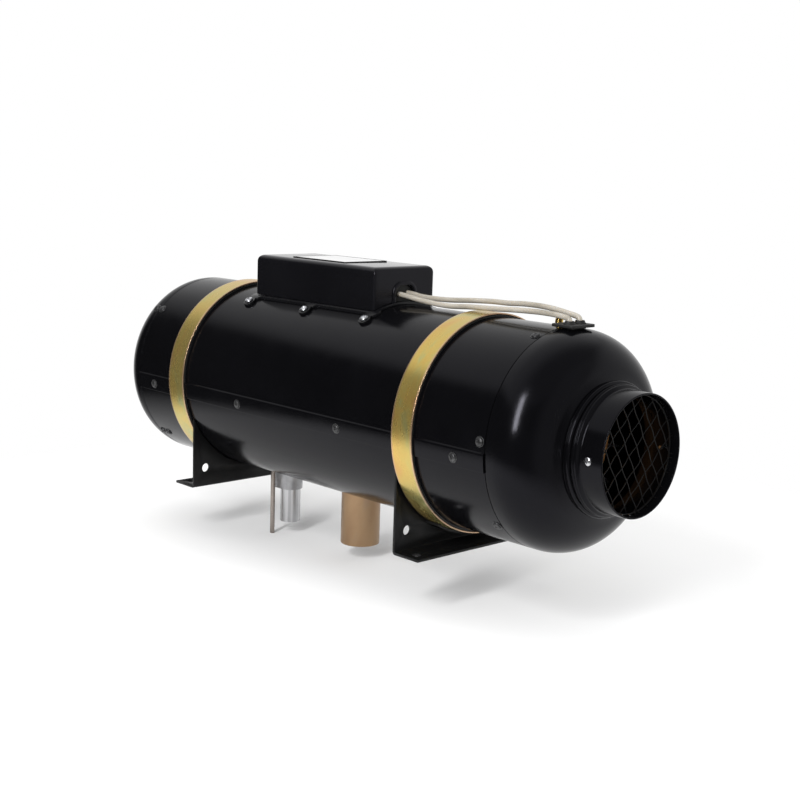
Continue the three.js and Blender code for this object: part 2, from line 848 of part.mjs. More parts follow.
function airInletStub() {
  const inner = airPortRadius - airPortWall;
  return turnedUpright(
    [
      [inner, -105 - seat],
      [airPortRadius, -105 - seat],
      [airPortRadius, airPortBottom + 1],
      [airPortRadius - 0.5, airPortBottom],
      [inner, airPortBottom],
    ],
    airPortX,
    0,
    24,
  );
}

function exhaustStub() {
  const inner = exhaustRadius - exhaustWall;
  return turnedUpright(
    [
      [inner, -90 - seat],
      [exhaustRadius + 4, -90 - seat],
      [exhaustRadius + 4, -93.5],
      [exhaustRadius, -94],
      [exhaustRadius, exhaustBottom + 1],
      [exhaustRadius - 0.6, exhaustBottom],
      [inner, exhaustBottom],
    ],
    exhaustX,
    0,
    24,
  );
}

function fuelPipe() {
  const bend = 14;
  const path = new THREE.CurvePath();
  path.add(new THREE.LineCurve3(
    new THREE.Vector3(fuelX, fuelY, fuelBottom),
    new THREE.Vector3(fuelX, fuelY, fuelY - bend),
  ));
  path.add(new THREE.QuadraticBezierCurve3(
    new THREE.Vector3(fuelX, fuelY, fuelY - bend),
    new THREE.Vector3(fuelX, fuelY, fuelY),
    new THREE.Vector3(fuelX + bend, fuelY, fuelY),
  ));
  path.add(new THREE.LineCurve3(
    new THREE.Vector3(fuelX + bend, fuelY, fuelY),
    new THREE.Vector3(housingFront - 3, fuelY, fuelY),
  ));
  const section = new THREE.Shape(
    Array.from({ length: 8 }, (_, k) => {
      const [u, v] = onCircle(fuelRadius, 45 * k);
      return new THREE.Vector2(u, v);
    }),
  );
  return solidOf(new THREE.ExtrudeGeometry(section, { steps: 18, extrudePath: path, bevelEnabled: false }));
}

// ---------------------------------------------------------------- burner and heat exchanger
function combustionAirHousing() {
  const inner = housingRadius - housingWall;
  const separatorRear = separatorFront - separatorSheet;
  const body = turned([
    [housingRear, shaftRadius + 1],
    [housingRear, housingRadius],
    [housingFront - 4, housingRadius],
    [housingFront - 4, housingRadius + 8],
    [housingFront, housingRadius + 8],
    [housingFront, inner],
    [separatorFront, inner],
    [separatorFront, eyeRadius],
    [separatorRear, eyeRadius],
    [separatorRear, inner],
    [housingRear + 4, inner],
    [housingRear + 4, shaftRadius + 1],
  ]);
  return cut(body, [
    bar([airPortX, 0, -40], [airPortX, 0, -70], airPortRadius - airPortWall, 20),
    bar([fuelX, fuelY, -40], [fuelX, fuelY, -70], fuelRadius + seat, 12),
    spoke(airPortX + 10, 55, 50, 70, 4.2 + seat, 12),
    spoke(airPortX + 10, 125, 50, 70, 4.2 + seat, 12),
  ]);
}

function plugAt(angle, tip) {
  const x = airPortX + 10;
  return joined([
    spoke(x, angle, tip, 76, 4.2, 10),
    spoke(x, angle, housingRadius + seat, housingRadius + 7, 7.5, 6),
    spoke(x, angle, 75, 86, 2.2, 6),
  ]);
}

function burnerHead() {
  const rear = housingFront + seat;
  const body = turned([
    [rear, 0],
    [rear, coreRadius + 6],
    [rear + 3.6, coreRadius + 6],
    [rear + 3.6, flameTubeRadius - flameTubeWall - 2 * seat],
    [rear + 12, flameTubeRadius - flameTubeWall - 2 * seat],
    [rear + 12, 27],
    [rear + 6, 24],
    [rear + 6, 0],
  ]);
  const jet = bar([rear - 9, fuelY, fuelY], [rear + 1, fuelY, fuelY], 5.5, 16);
  const jetBore = bar([rear - 12, fuelY, fuelY], [housingFront - 3 + seat, fuelY, fuelY], fuelRadius + seat, 16);
  const jetAngle = 225;
  const swirl = [60, 120, 180, 240, 300].map((step) => {
    const [y, z] = onCircle(19, jetAngle + step - 180);
    return bar([rear - 4, y, z], [rear + 10, y, z], 2.6, 5);
  });
  return cut(body.add(jet), [jetBore, ...swirl]);
}

function flameTube() {
  const outer = flameTubeRadius;
  const inner = outer - flameTubeWall;
  const rear = housingFront + seat + 3.6 + seat;
  const body = ring(inner, outer, rear, flameTubeFront, 24);
  const holes = [45, 135, 225, 315].map((angle) => spoke(rear + 50, angle, 30, 40, 4, 6));
  return cut(body, holes);
}

function finOutline() {
  const outline = [];
  const halfRoot = THREE.MathUtils.radToDeg(finSheet / 2 / coreRadius) * 1.25;
  const halfTip = THREE.MathUtils.radToDeg(finSheet / 2 / finRadius) * 0.8;
  for (let k = 0; k < finCount; k += 1) {
    const angle = ((k + 0.5) * 360) / finCount;
    outline.push(onCircle(coreRadius, angle - halfRoot));
    outline.push(onCircle(finRadius, angle - halfTip));
    outline.push(onCircle(finRadius, angle + halfTip));
    outline.push(onCircle(coreRadius, angle + halfRoot));
  }
  return outline;
}

function heatExchanger() {
  const rear = housingFront + seat + 3.6 + seat;
  const fins = alongX(finOutline(), rear + 12, coreFront);
  const core = disc(coreRadius, rear, coreFront, 2 * finCount);
  const flange = disc(coreRadius + 6, rear, rear + 5, 2 * finCount);
  const boss = bar([exhaustX, 0, -50], [exhaustX, 0, -90], exhaustRadius + 4, 20);
  const bore = bar([exhaustX, 0, -40], [exhaustX, 0, -95], exhaustRadius - exhaustWall, 20);
  const hollow = disc(coreInner, rear - 5, coreFront + 5, 24);
  const sensorRoom = spoke(sensorX, sensorAngle, 78, 95, 7, 8);
  return cut(joined([fins, core, flange, boss]), [hollow, bore, sensorRoom]);
}

function exchangerEndCap() {
  const rear = coreFront + seat;
  const edge = 16;
  const front = rear + capDepth;
  const rim = coreRadius - 1;
  const round = (offset) =>
    [0, 30, 60, 90].map((angle) => [
      front - edge + (edge - offset) * Math.sin(radians(angle)),
      rim - edge + (edge - offset) * Math.cos(radians(angle)),
    ]);
  return turned([
    [rear, coreRadius + 3],
    [rear + 2.5, coreRadius + 3],
    [rear + 3.5, rim],
    ...round(0),
    [front + 2.5, 12],
    [front + 3, 0],
    [front, 0],
    ...round(2.5).reverse(),
    [rear, rim - 2.5],
  ]);
}

// ---------------------------------------------------------------- motor, fan and impeller
function motorCan() {
  return turned([
    [motorRear, bearingRadius + seat],
    [motorRear, 20],
    [motorRear + 4, motorRadius - 3],
    [motorRear + 7, motorRadius],
    [motorFront - 3, motorRadius],
    [motorFront - 3, motorRadius - motorWall],
    [motorRear + 10, motorRadius - motorWall],
    [motorRear + 8, bearingRadius + 4],
    [motorRear + 8, bearingRadius + seat],
  ], 24);
}

function motorEndPlate() {
  return turned([
    [motorFront - 12, bearingRadius + seat],
    [motorFront - 12, bearingRadius + 4],
    [motorFront - 3 + seat, bearingRadius + 6],
    [motorFront - 3 + seat, motorRadius],
    [motorFront, motorRadius],
    [motorFront, bearingRadius + seat],
  ], 24);
}

function bearing(rear) {
  return ring(shaftRadius + seat, bearingRadius, rear, rear + bearingLength, 16);
}

function motorMagnets() {
  return ring(25.5, motorRadius - motorWall - 2 * seat, motorRear + 18, motorFront - 16, 20);
}

function armature() {
  const core = turned([
    [motorRear + 20, shaftRadius + seat],
    [motorRear + 20, 24],
    [motorFront - 18, 24],
    [motorFront - 18, shaftRadius + seat],
  ], 24);
  const slots = Array.from({ length: 6 }, (_, k) => {
    const [y, z] = onCircle(24, 60 * k);
    return bar([motorRear + 15, y, z], [motorFront - 10, y, z], 3, 4);
  });
  return cut(core, slots);
}

function rotorShaft() {
  const rear = fanFront - fanLength - 8;
  const front = separatorFront - separatorSheet - 1.5;
  return turned([
    [rear, 0],
    [rear, shaftRadius - 0.8],
    [rear + 1, shaftRadius],
    [front, shaftRadius],
    [front, 0],
  ], 16);
}

// Curved thin section of a blade at one distance from the axis, as [u, v] points.
function bladeSection(chord, camber, thickness) {
  const stations = [-0.5, 0, 0.5];
  const mean = (s) => camber * (1 - 4 * s * s);
  const half = (s) => (thickness / 2) * (1 - 2.2 * s * s);
  const lower = stations.map((s) => [chord * s, mean(s) - half(s)]);
  const upper = stations.map((s) => [chord * s, mean(s) + half(s)]).reverse();
  return [...lower, ...upper];
}

// Axial blade from the hub to the tip; its pitch falls towards the tip.
function fanBlade(turn) {
  const middle = fanFront - fanLength / 2;
  const stations = [0, 0.5, 1];
  const outlines = stations.map((t) => bladeSection(25 + 13 * t, 2.6 - t, 2));
  const rings = stations.map((t, k) => {
    const radius = hubRadius - 2 + (fanRadius - hubRadius + 2) * t;
    const pitch = radians(52 - 26 * t);
    const sweep = radians(10 * t) + radians(turn);
    return outlines[k].map(([u, v]) => {
      const axial = u * Math.sin(pitch) + v * Math.cos(pitch);
      const around = (u * Math.cos(pitch) - v * Math.sin(pitch)) / radius + sweep;
      return [middle + axial, radius * Math.cos(around), radius * Math.sin(around)];
    });
  });
  return loft(rings, [outlines[0], outlines.at(-1)]);
}

function blowerFan() {
  const rear = fanFront - fanLength;
  const hub = turned([
    [rear, shaftRadius + seat],
    [rear, hubRadius - 5],
    [rear + 5, hubRadius],
    [fanFront, hubRadius],
    [fanFront, hubRadius - 2.5],
    [rear + 7, hubRadius - 3],
    [rear + 7, shaftRadius + 4],
    [fanFront - 4, shaftRadius + 4],
    [fanFront - 4, shaftRadius + seat],
  ], 24);
  const inside = disc(hubRadius - 1.2, rear - 10, fanFront + 20, 16);
  const blades = Array.from({ length: fanBlades }, (_, k) => fanBlade((360 * k) / fanBlades).subtract(inside));
  return joined([hub, ...blades]);
}

function fanNut() {
  const rear = fanFront - fanLength;
  return cut(bar([rear - 5, 0, 0], [rear - seat, 0, 0], 7.5, 6), [
    bar([rear - 6, 0, 0], [rear + 1, 0, 0], shaftRadius + seat, 12),
  ]);
}

function combustionImpeller() {
  const front = separatorFront - separatorSheet - 2;
  const back = housingRear + 6;
  const plate = turned([
    [back, shaftRadius + seat],
    [back, impellerRadius],
    [back + 2.4, impellerRadius],
    [back + 2.4, 12],
    [front - 1, 9],
    [front - 1, shaftRadius + seat],
  ], 24);
  const blade = (turn) => {
    const outline = [];
    const steps = 3;
    for (let i = 0; i <= steps; i += 1) {
      const t = i / steps;
      outline.push(onCircle(15 + (impellerRadius - 15.6) * t, turn - 42 * t));
    }
    const back2 = outline.map(([y, z], i) => {
      const t = i / steps;
      return onCircle(Math.hypot(y, z), turn - 42 * t + THREE.MathUtils.radToDeg(1.8 / Math.hypot(y, z)));
    });
    return alongX([...outline, ...back2.reverse()], back + 1, front);
  };
  const blades = Array.from({ length: impellerBlades }, (_, k) => blade((360 * k) / impellerBlades));
  return joined([plate, ...blades]);
}

// Ring and arms that centre the motor in the casing, behind the shells' rear ends.
function motorCradle() {
  const [rear, front] = [motorRear + 24, motorRear + 34];
  const rim = ring(spigotRadius - 3, spigotRadius, rear, front, 24);
  const collar = ring(motorRadius + 2 * seat, motorRadius + 4, rear, front, 24);
  const arms = [45, 135, 225, 315].map((angle) => {
    const arm = block(rear, front, motorRadius + 2, spigotRadius - 1, -2, 2);
    return arm.rotate([angle, 0, 0]);
  });
  return joined([rim, collar, ...arms]);
}

// ---------------------------------------------------------------- assembly
const heater = new THREE.Group();
const casing = new THREE.Group();
casing.position.set(-frontFootMiddle, 0, footDrop);
heater.add(casing);

function add(name, solid, material) {
  const mesh = new THREE.Mesh(geometryOf(solid), material());
  mesh.name = name;
  casing.add(mesh);
}

add('casing_upper_shell', casingUpperShell(), blackPaint);
add('casing_lower_shell', casingLowerShell(), blackPaint);
add('outlet_hood', outletHood(), blackPaint);
add('outlet_spout', outletSpout(), blackPaint);
add('outlet_grille', outletGrille(), blackSheet);
add('intake_hood', intakeHood(), blackPaint);
add('intake_grille', intakeGrille(), blackPlastic);

for (const [name, angle] of [['spout_screw_left', 180], ['spout_screw_right', 0]]) {
  add(name, spoutScrew(angle), steel);
}

for (const [end, rear, face, facing] of [
  ['front', frontStrapRear, frontPlateFace, 1],
  ['rear', rearStrapRear, rearPlateFace, -1],
]) {
  add(`bracket_${end}`, bracket(face, facing), blackSheet);
  add(`strap_${end}`, strap(rear), yellowZinc);
  add(`strap_liner_${end}`, strapLiner(rear), rubber);
  add(`strap_bolt_${end}`, strapBolt(rear), steel);
}

add('control_box_base', controlBoxBase(), blackPlastic);
add('control_box_cover', controlBoxCover(), blackPlastic);
add('control_box_grommet', boxGrommet(), rubber);
add('control_board', controlBoard(), board);
add('rating_plate', ratingPlate(), labelFilm);
lugPlaces.forEach((x, k) => {
  add(`lug_screw_near_${k + 1}`, lugScrew(x, 180 - lugAngle), steel);
  add(`lug_screw_far_${k + 1}`, lugScrew(x, lugAngle), steel);
});

const [nearRoute, farRoute] = leadRoutes();
add('sensor_lead_near', lead(nearRoute), silicone);
add('sensor_lead_far', lead(farRoute), silicone);
add('lead_grommet', leadGrommet(), rubber);
add('temperature_sensor', temperatureSensor(), brass);

add('port_casting', portCasting(), aluminium);
add('air_inlet_stub', airInletStub(), aluminium);
add('exhaust_stub', exhaustStub(), browned);
add('fuel_pipe', fuelPipe(), browned);

add('combustion_air_housing', combustionAirHousing(), castAluminium);
add('glow_plug', plugAt(125, 44), steel);
add('flame_sensor', plugAt(55, 48), steel);
add('burner_head', burnerHead(), castAluminium);
add('flame_tube', flameTube(), steel);
add('heat_exchanger', heatExchanger(), castAluminium);
add('exchanger_end_cap', exchangerEndCap(), copper);

add('motor_cradle', motorCradle(), castAluminium);
add('motor_can', motorCan(), steel);
add('motor_end_plate', motorEndPlate(), castAluminium);
add('motor_magnets', motorMagnets(), blackSheet);
add('rear_bearing', bearing(motorRear + 0.6), steel);
add('front_bearing', bearing(motorFront - bearingLength - 1), steel);
add('rotor_shaft', rotorShaft(), steel);
add('armature', armature(), steel);
add('blower_fan', blowerFan(), blackPlastic);
add('fan_nut', fanNut(), steel);
add('combustion_impeller', combustionImpeller(), aluminium);

export default heater;
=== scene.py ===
import json
import math

import bmesh
import bpy
from mathutils import Matrix, Vector


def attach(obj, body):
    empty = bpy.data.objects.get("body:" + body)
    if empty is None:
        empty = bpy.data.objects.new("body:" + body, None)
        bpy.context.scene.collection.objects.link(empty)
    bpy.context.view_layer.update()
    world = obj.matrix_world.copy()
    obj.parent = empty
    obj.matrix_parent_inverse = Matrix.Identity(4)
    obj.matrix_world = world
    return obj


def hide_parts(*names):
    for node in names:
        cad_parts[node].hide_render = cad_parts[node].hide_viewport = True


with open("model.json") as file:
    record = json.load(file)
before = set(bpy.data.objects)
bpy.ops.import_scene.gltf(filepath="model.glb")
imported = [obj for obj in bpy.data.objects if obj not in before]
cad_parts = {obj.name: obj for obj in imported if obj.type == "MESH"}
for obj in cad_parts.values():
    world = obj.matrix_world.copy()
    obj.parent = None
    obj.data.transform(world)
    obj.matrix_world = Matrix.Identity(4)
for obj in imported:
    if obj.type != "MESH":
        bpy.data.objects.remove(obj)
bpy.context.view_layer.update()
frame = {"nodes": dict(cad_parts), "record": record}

# All forms below are in millimetres in the casing's own frame: x = 0 is the front seam,
# y = z = 0 is the casing's axis. metres() takes them to the part's frame.
MM = 0.001
SHIFT = Vector((98.15, 0.0, 117.0))
HEATER, ROTOR = "heater", "blower_rotor"

SEAT = 0.3
SHEET = 1.5
CASING = 100.0
LENGTH = 525.0
INNER = CASING - SHEET
SPIGOT, SPIGOT_LENGTH = INNER - SEAT, 12.0
LAP_OUTER = 101.5
LAP_END, SEAM_ANGLE = -10.35, 2.1
DOME_START, DOME_DEPTH = 8.0, 42.0
NECK = 58.5
DOME_MIDDLE, DOME_END = NECK + 1.5, 79
DUCT = 54.1
SPOUT_END = 87.7
SPOUT_SCREW_X = 73.5
INTAKE_END, COLLAR_END = -560.0, -577.0
INTAKE_DEPTH, INTAKE_CORNER = 30.0, 32.0
GRILLE_X = 78.7
WIRE = 0.45
# angle, spacing and phase of the wires of each direction
GRILLE_WIRES = ((-59.4, 11.9, 0.5), (42.8, 14.5, 0.2))
FOOT_DROP = 117.0
PLATE_HOLE_Y, PLATE_HOLE_Z, PLATE_HOLE = 76.6, -96.2, 4.75
FOOT_HOLE_X, FOOT_HOLE_Y, FOOT_HOLE = 20.5, 81.0, 4.5
BRACKET_SHEET = 2.5
BRACKET_HALF = 92.0
BRACKET_ARC = 101.0
BRACKET_FOOT = 31.3
STRAP_WIDTH, STRAP_SHEET = 26.0, 1.5
LINER_INNER, LINER_OUTER = 100.35, 102.1
STRAP_INNER = 102.34
STRAP_OUTER = STRAP_INNER + STRAP_SHEET
STRAP_GAP_ANGLE, STRAP_GAP, STRAP_BEND = 24.0, 9.0, 2.4
EAR, EAR_SHARE = 15.0, 0.71
STRAPS = {"front": -111.0, "rear": -462.5}
PLATES = {"front": (-116.3, 1), "rear": (-431.2, -1)}
BOX_REAR, BOX_FRONT, BOX_HALF, BOX_TOP = -394.0, -208.3, 40.2, 136.9
BOX_CORNER, BOX_EDGE, BOX_WALL = 2.5, 7.0, 2.2
BASE_INNER, BASE_TOP, BASE_LIP = 100.3, 102.8, 2.6
LUG_ANGLE, LUG_X = 59.6, (-390.6, -299.0, -208.5)
POST_X, POST_Y = (-375, -232.3), 28
LABEL_X, LABEL_HALF, LABEL_BORDER, LABEL_HEIGHT = (-348.0, -265.0), 29.0, 2.6, 0.85
ARCH_HALF, ARCH_TOP, ARCH_RIB = 16.0, 122.5, 4.0
SEAM_SCREWS, SEAM_SCREW_ANGLE = (-494.7, -343.6, -189.1, -35.7), -5.9
RING_SCREW_X, RING_SCREW_ANGLES = -6.3, (69.6, 4.7, -43.5)
HOOD_SCREWS = ((-530.8, 42.7), (-520.5, 42.7), (-520.9, -44.4), (-510.6, -44.4))
LEAD = 2.5
GROMMET_X, GROMMET_LENGTH, GROMMET_WIDTH, GROMMET_PLATE = 6.0, 25.0, 32.0, 3.4
BOSS_X, BOSS_Y, BOSS_TOP, BOSS_RADIUS = 7.6, 7, 106.6, 4.6
SENSOR_X, SENSOR_ANGLE, SENSOR_FOOT, SENSOR_TOP = -19.5, 83.7, 88.0, 110.4
SENSOR_RADIUS, SENSOR_TIP = 3.6, 2.1
EXHAUST_X, EXHAUST_RADIUS, EXHAUST_END = -263.0, 20.25, -154.0
AIR_X, AIR_RADIUS, AIR_END = -379.2, 11.0, -155.5
PORT_LOBE, PORT_RADIUS, PORT_END, PORT_SEAT = 13.5, 13.0, -118.5, 62.3
FUEL_X, FUEL_Y, FUEL_Z, FUEL_RADIUS, FUEL_END = -388.3, -17.5, -10.0, 2.5, -169.0
FUEL_INNER = (-396.0, -10.0)
CORE_RADIUS, CORE_FRONT, CAP_DEPTH = 62.0, -2.0, 12.0
BLADES = 7


# ---- forms: (points, faces)
def metres(point):
    return tuple((value + shift) * MM for value, shift in zip(point, SHIFT))


def on_circle(radius, angle):
    turn = math.radians(angle)
    return radius * math.cos(turn), radius * math.sin(turn)


def circle(radius, sides):
    return [on_circle(radius, 360 * k / sides) for k in range(sides)]


def arc(radius, start, end, steps, centre=(0.0, 0.0)):
    points = []
    for k in range(steps + 1):
        u, v = on_circle(radius, start + (end - start) * k / steps)
        points.append((centre[0] + u, centre[1] + v))
    return points


def quarter(x, radius, reach, rise, steps, last=90):
    """Quarter ellipse as (x, radius) points, from its crown down to its tip at x + reach."""
    points = []
    for k in range(steps + 1):
        c, s = on_circle(1, last * k / steps)
        points.append((x + reach * s, radius + rise * c))
    return points


def filleted(points, steps=4):
    """Outline of (u, v) corners; one written (u, v, radius) is rounded."""
    out = []
    for i, point in enumerate(points):
        corner = Vector(point[:2])
        before, after = Vector(points[i - 1][:2]), Vector(points[(i + 1) % len(points)][:2])
        radius = point[2] if len(point) > 2 else 0
        back, ahead = (before - corner), (after - corner)
        half = back.angle(ahead) / 2 if back.length and ahead.length else 0
        if not radius or half < 0.02 or half > 1.55:
            out.append(tuple(corner))
            continue
        reach = min(radius / math.tan(half), 0.49 * back.length, 0.49 * ahead.length)
        radius = reach * math.tan(half)
        back.normalize()
        ahead.normalize()
        centre = corner + (back + ahead).normalized() * (radius / math.sin(half))
        first, last = corner + back * reach - centre, corner + ahead * reach - centre
        turn = math.atan2(first.x * last.y - first.y * last.x, first.dot(last))
        for k in range(steps + 1):
            step = Matrix.Rotation(turn * k / steps, 2)
            out.append(tuple(centre + step @ first))
    return out


def merged(*forms):
    points, faces = [], []
    for more, polygons in forms:
        faces += [tuple(i + len(points) for i in polygon) for polygon in polygons]
        points = points + list(more)
    return points, faces


def loft(rings, closed=True, caps=True, looped=False):
    count = len(rings[0])
    faces = []
    for k in range(len(rings) if looped else len(rings) - 1):
        first, second = k * count, ((k + 1) % len(rings)) * count
        for i in range(count if closed else count - 1):
            j = (i + 1) % count
            faces.append((first + i, first + j, second + j, second + i))
    if caps and not looped:
        last = (len(rings) - 1) * count
        faces.append(tuple(reversed(range(count))))
        faces.append(tuple(range(last, last + count)))
    return [point for ring in rings for point in ring], faces


def turned(outline, sides=144):
    """Closed outline of (x, radius) points turned about the casing's axis."""
    return loft([[(x, r * c, r * s) for x, r in outline] for c, s in circle(1, sides)], looped=True)


def placed(form, origin, outward, spin=0.0):
    turn = Vector((0, 0, 1)).rotation_difference(Vector(outward).normalized()).to_matrix()
    turn = turn @ Matrix.Rotation(math.radians(spin), 3, "Z")
    return [tuple(turn @ Vector(p) + Vector(origin)) for p in form[0]], form[1]


def turned_about(outline, origin=(0, 0, 0), outward=(0, 0, 1), sides=32):
    """Closed outline of (radius, height) points turned about a line through origin."""
    rings = [[(r * c, r * s, h) for r, h in outline] for c, s in circle(1, sides)]
    return placed(loft(rings, looped=True), origin, outward)


def prism(outline, low, high, axis):
    """Outline drawn along x, y or z; it holds (y, z), (x, z) or (x, y) points."""
    def place(u, v, w):
        return {"x": (w, u, v), "y": (u, w, v), "z": (u, v, w)}[axis]
    return loft([[place(u, v, w) for u, v in outline] for w in (low, high)])


def rounded_rectangle(u0, u1, v0, v1, radius, steps=8):
    corners = ((u1, v1, 0), (u0, v1, 90), (u0, v0, 180), (u1, v0, 270))
    out = []
    for u, v, start in corners:
        centre_u = u - math.copysign(radius, u - (u0 + u1) / 2)
        centre_v = v - math.copysign(radius, v - (v0 + v1) / 2)
        out += arc(radius, start, start + 90, steps, (centre_u, centre_v))
    return out


def bar(start, end, radius, sides=48):
    height = (Vector(end) - Vector(start)).length
    outline = [(0, 0), (radius, 0), (radius, height), (0, height)]
    return turned_about(outline, start, Vector(end) - Vector(start), sides)


def spoke(x, angle, start, end, radius, sides=24):
    return bar((x, *on_circle(start, angle)), (x, *on_circle(end, angle)), radius, sides)


def tube(path, radius, sides=16, round_ends=False):
    """Round bar along a list of points."""
    path = [Vector(point) for point in path]
    ahead = (path[1] - path[0]).normalized()
    side = ahead.orthogonal().normalized()
    rings = []
    for i, point in enumerate(path):
        back = path[i] - path[i - 1] if i else path[1] - path[0]
        front = path[i + 1] - path[i] if i + 1 < len(path) else back
        new = (back.normalized() + front.normalized()).normalized()
        side = (side - new * side.dot(new)).normalized()
        other = new.cross(side)
        girth = radius[i] if isinstance(radius, (list, tuple)) else radius
        rings.append([tuple(point + girth * (side * c + other * s)) for c, s in circle(1, sides)])
    if round_ends:
        for end in (0, -1):
            point, out = path[end], (path[end] - path[-2 if end else 1]).normalized()
            ring = [Vector(p) - point for p in rings[end]]
            for turn in (30, 60, 82):
                c, s = on_circle(1, turn)
                cap = [tuple(point + p * c + out * p.length * s) for p in ring]
                rings.insert(0, cap) if end == 0 else rings.append(cap)
    return loft(rings)


def through(points, per_span=8):
    """Centripetal curve through the points."""
    points = [Vector(p) for p in points]
    ends = [2 * points[0] - points[1], *points, 2 * points[-1] - points[-2]]
    out = []
    for i in range(len(points) - 1):
        p0, p1, p2, p3 = ends[i:i + 4]
        t1, t2, t3 = (max((b - a).length, 1e-6) ** 0.5 for a, b in ((p0, p1), (p1, p2), (p2, p3)))
        m1 = ((p1 - p0) / t1 - (p2 - p0) / (t1 + t2) + (p2 - p1) / t2) * t2
        m2 = ((p2 - p1) / t2 - (p3 - p1) / (t2 + t3) + (p3 - p2) / t3) * t2
        for k in range(per_span):
            t = k / per_span
            out.append((2 * t**3 - 3 * t**2 + 1) * p1 + (t**3 - 2 * t**2 + t) * m1
                       + (3 * t**2 - 2 * t**3) * p2 + (t**3 - t**2) * m2)
    return [tuple(p) for p in [*out, points[-1]]]


def swept(path, section, width=lambda i: 1.0):
    """Section of (x, height) points along a path in the Y-Z plane; heights go to its right."""
    rings = []
    for i, point in enumerate(path):
        before, after = path[max(i - 1, 0)], path[min(i + 1, len(path) - 1)]
        tangent = (Vector(after) - Vector(before)).normalized()
        normal = Vector((tangent.y, -tangent.x))
        rings.append([(x * width(i), point[0] + normal.x * h, point[1] + normal.y * h) for x, h in section])
    return loft(rings)


def moved(form, x=0.0, y=0.0, z=0.0):
    return [(px + x, py + y, pz + z) for px, py, pz in form[0]], form[1]


# ---- Blender meshes
def mesh_from(form, name, scale):
    mesh = bpy.data.meshes.new(name)
    mesh.from_pydata([scale(p) for p in form[0]], [], [f for f in form[1]])
    work = bmesh.new()
    work.from_mesh(mesh)
    bmesh.ops.remove_doubles(work, verts=work.verts, dist=1e-6 if scale is metres else 1e-4)
    loose = [e for e in work.edges if not e.link_faces]
    bmesh.ops.delete(work, geom=loose, context="EDGES")
    bmesh.ops.recalc_face_normals(work, faces=work.faces)
    work.to_mesh(mesh)
    work.free()
    return mesh


def new_object(name, data):
    made = bpy.data.objects.new(name, data)
    bpy.context.scene.collection.objects.link(made)
    return made


def temporary(form):
    return new_object("temporary", mesh_from(form, "temporary", tuple))


def evaluated(body):
    graph = bpy.context.evaluated_depsgraph_get()
    shape = body.evaluated_get(graph).to_mesh()
    form = [tuple(v.co) for v in shape.vertices], [tuple(p.vertices) for p in shape.polygons]
    body.evaluated_get(graph).to_mesh_clear()
    return form


def boolean(form, tools, operation="DIFFERENCE"):
    base = temporary(form)
    others = [temporary(tool) for tool in tools]
    for other in others:
        step = base.modifiers.new("cut", "BOOLEAN")
        step.operation, step.object, step.solver = operation, other, "EXACT"
    result = evaluated(base)
    for body in [base, *others]:
        bpy.data.objects.remove(body)
    return result


def bevelled(form, width, segments=2, angle=40):
    base = temporary(form)
    step = base.modifiers.new("edges", "BEVEL")
    step.width, step.segments, step.limit_method = width, segments, "ANGLE"
    step.angle_limit = math.radians(angle)
    result = evaluated(base)
    bpy.data.objects.remove(base)
    return result


def add(name, form, look, nodes=(), slot=None, body=HEATER, sharp=38):
    """Piece that stands for the nodes and hides them; the slot argument is not used."""
    slot = slot or look
    mesh = mesh_from(form, name, metres)
    mesh.shade_smooth()
    mesh.set_sharp_from_angle(angle=math.radians(sharp))
    mesh.materials.append(LOOKS[look])
    piece = new_object(name, mesh)
    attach(piece, body)
    if nodes:
        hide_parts(*nodes)
    return piece


# ---- materials
EVEN = (1, 1, 1)


class Nodes:
    """Short calls that build a node tree."""

    def __init__(self, tree):
        self.tree = tree

    def node(self, kind, **values):
        made = self.tree.nodes.new(kind)
        for key, value in values.items():
            if key in made.inputs:
                made.inputs[key].default_value = value
            else:
                setattr(made, key, value)
        return made

    def link(self, a, b):
        self.tree.links.new(a, b)

    def levels(self, factor, low, high, start=0.3, end=0.7, **values):
        made = self.node("ShaderNodeMapRange", **values)
        for key, value in (("From Min", start), ("From Max", end), ("To Min", low), ("To Max", high)):
            made.inputs[key].default_value = value
        self.link(factor, made.inputs["Value"])
        return made.outputs["Result"]

    def math(self, operation, *sources):
        made = self.node("ShaderNodeMath", operation=operation)
        for socket, source in zip(made.inputs, sources):
            if isinstance(source, (int, float)):
                socket.default_value = source
            else:
                self.link(source, socket)
        return made.outputs["Value"]


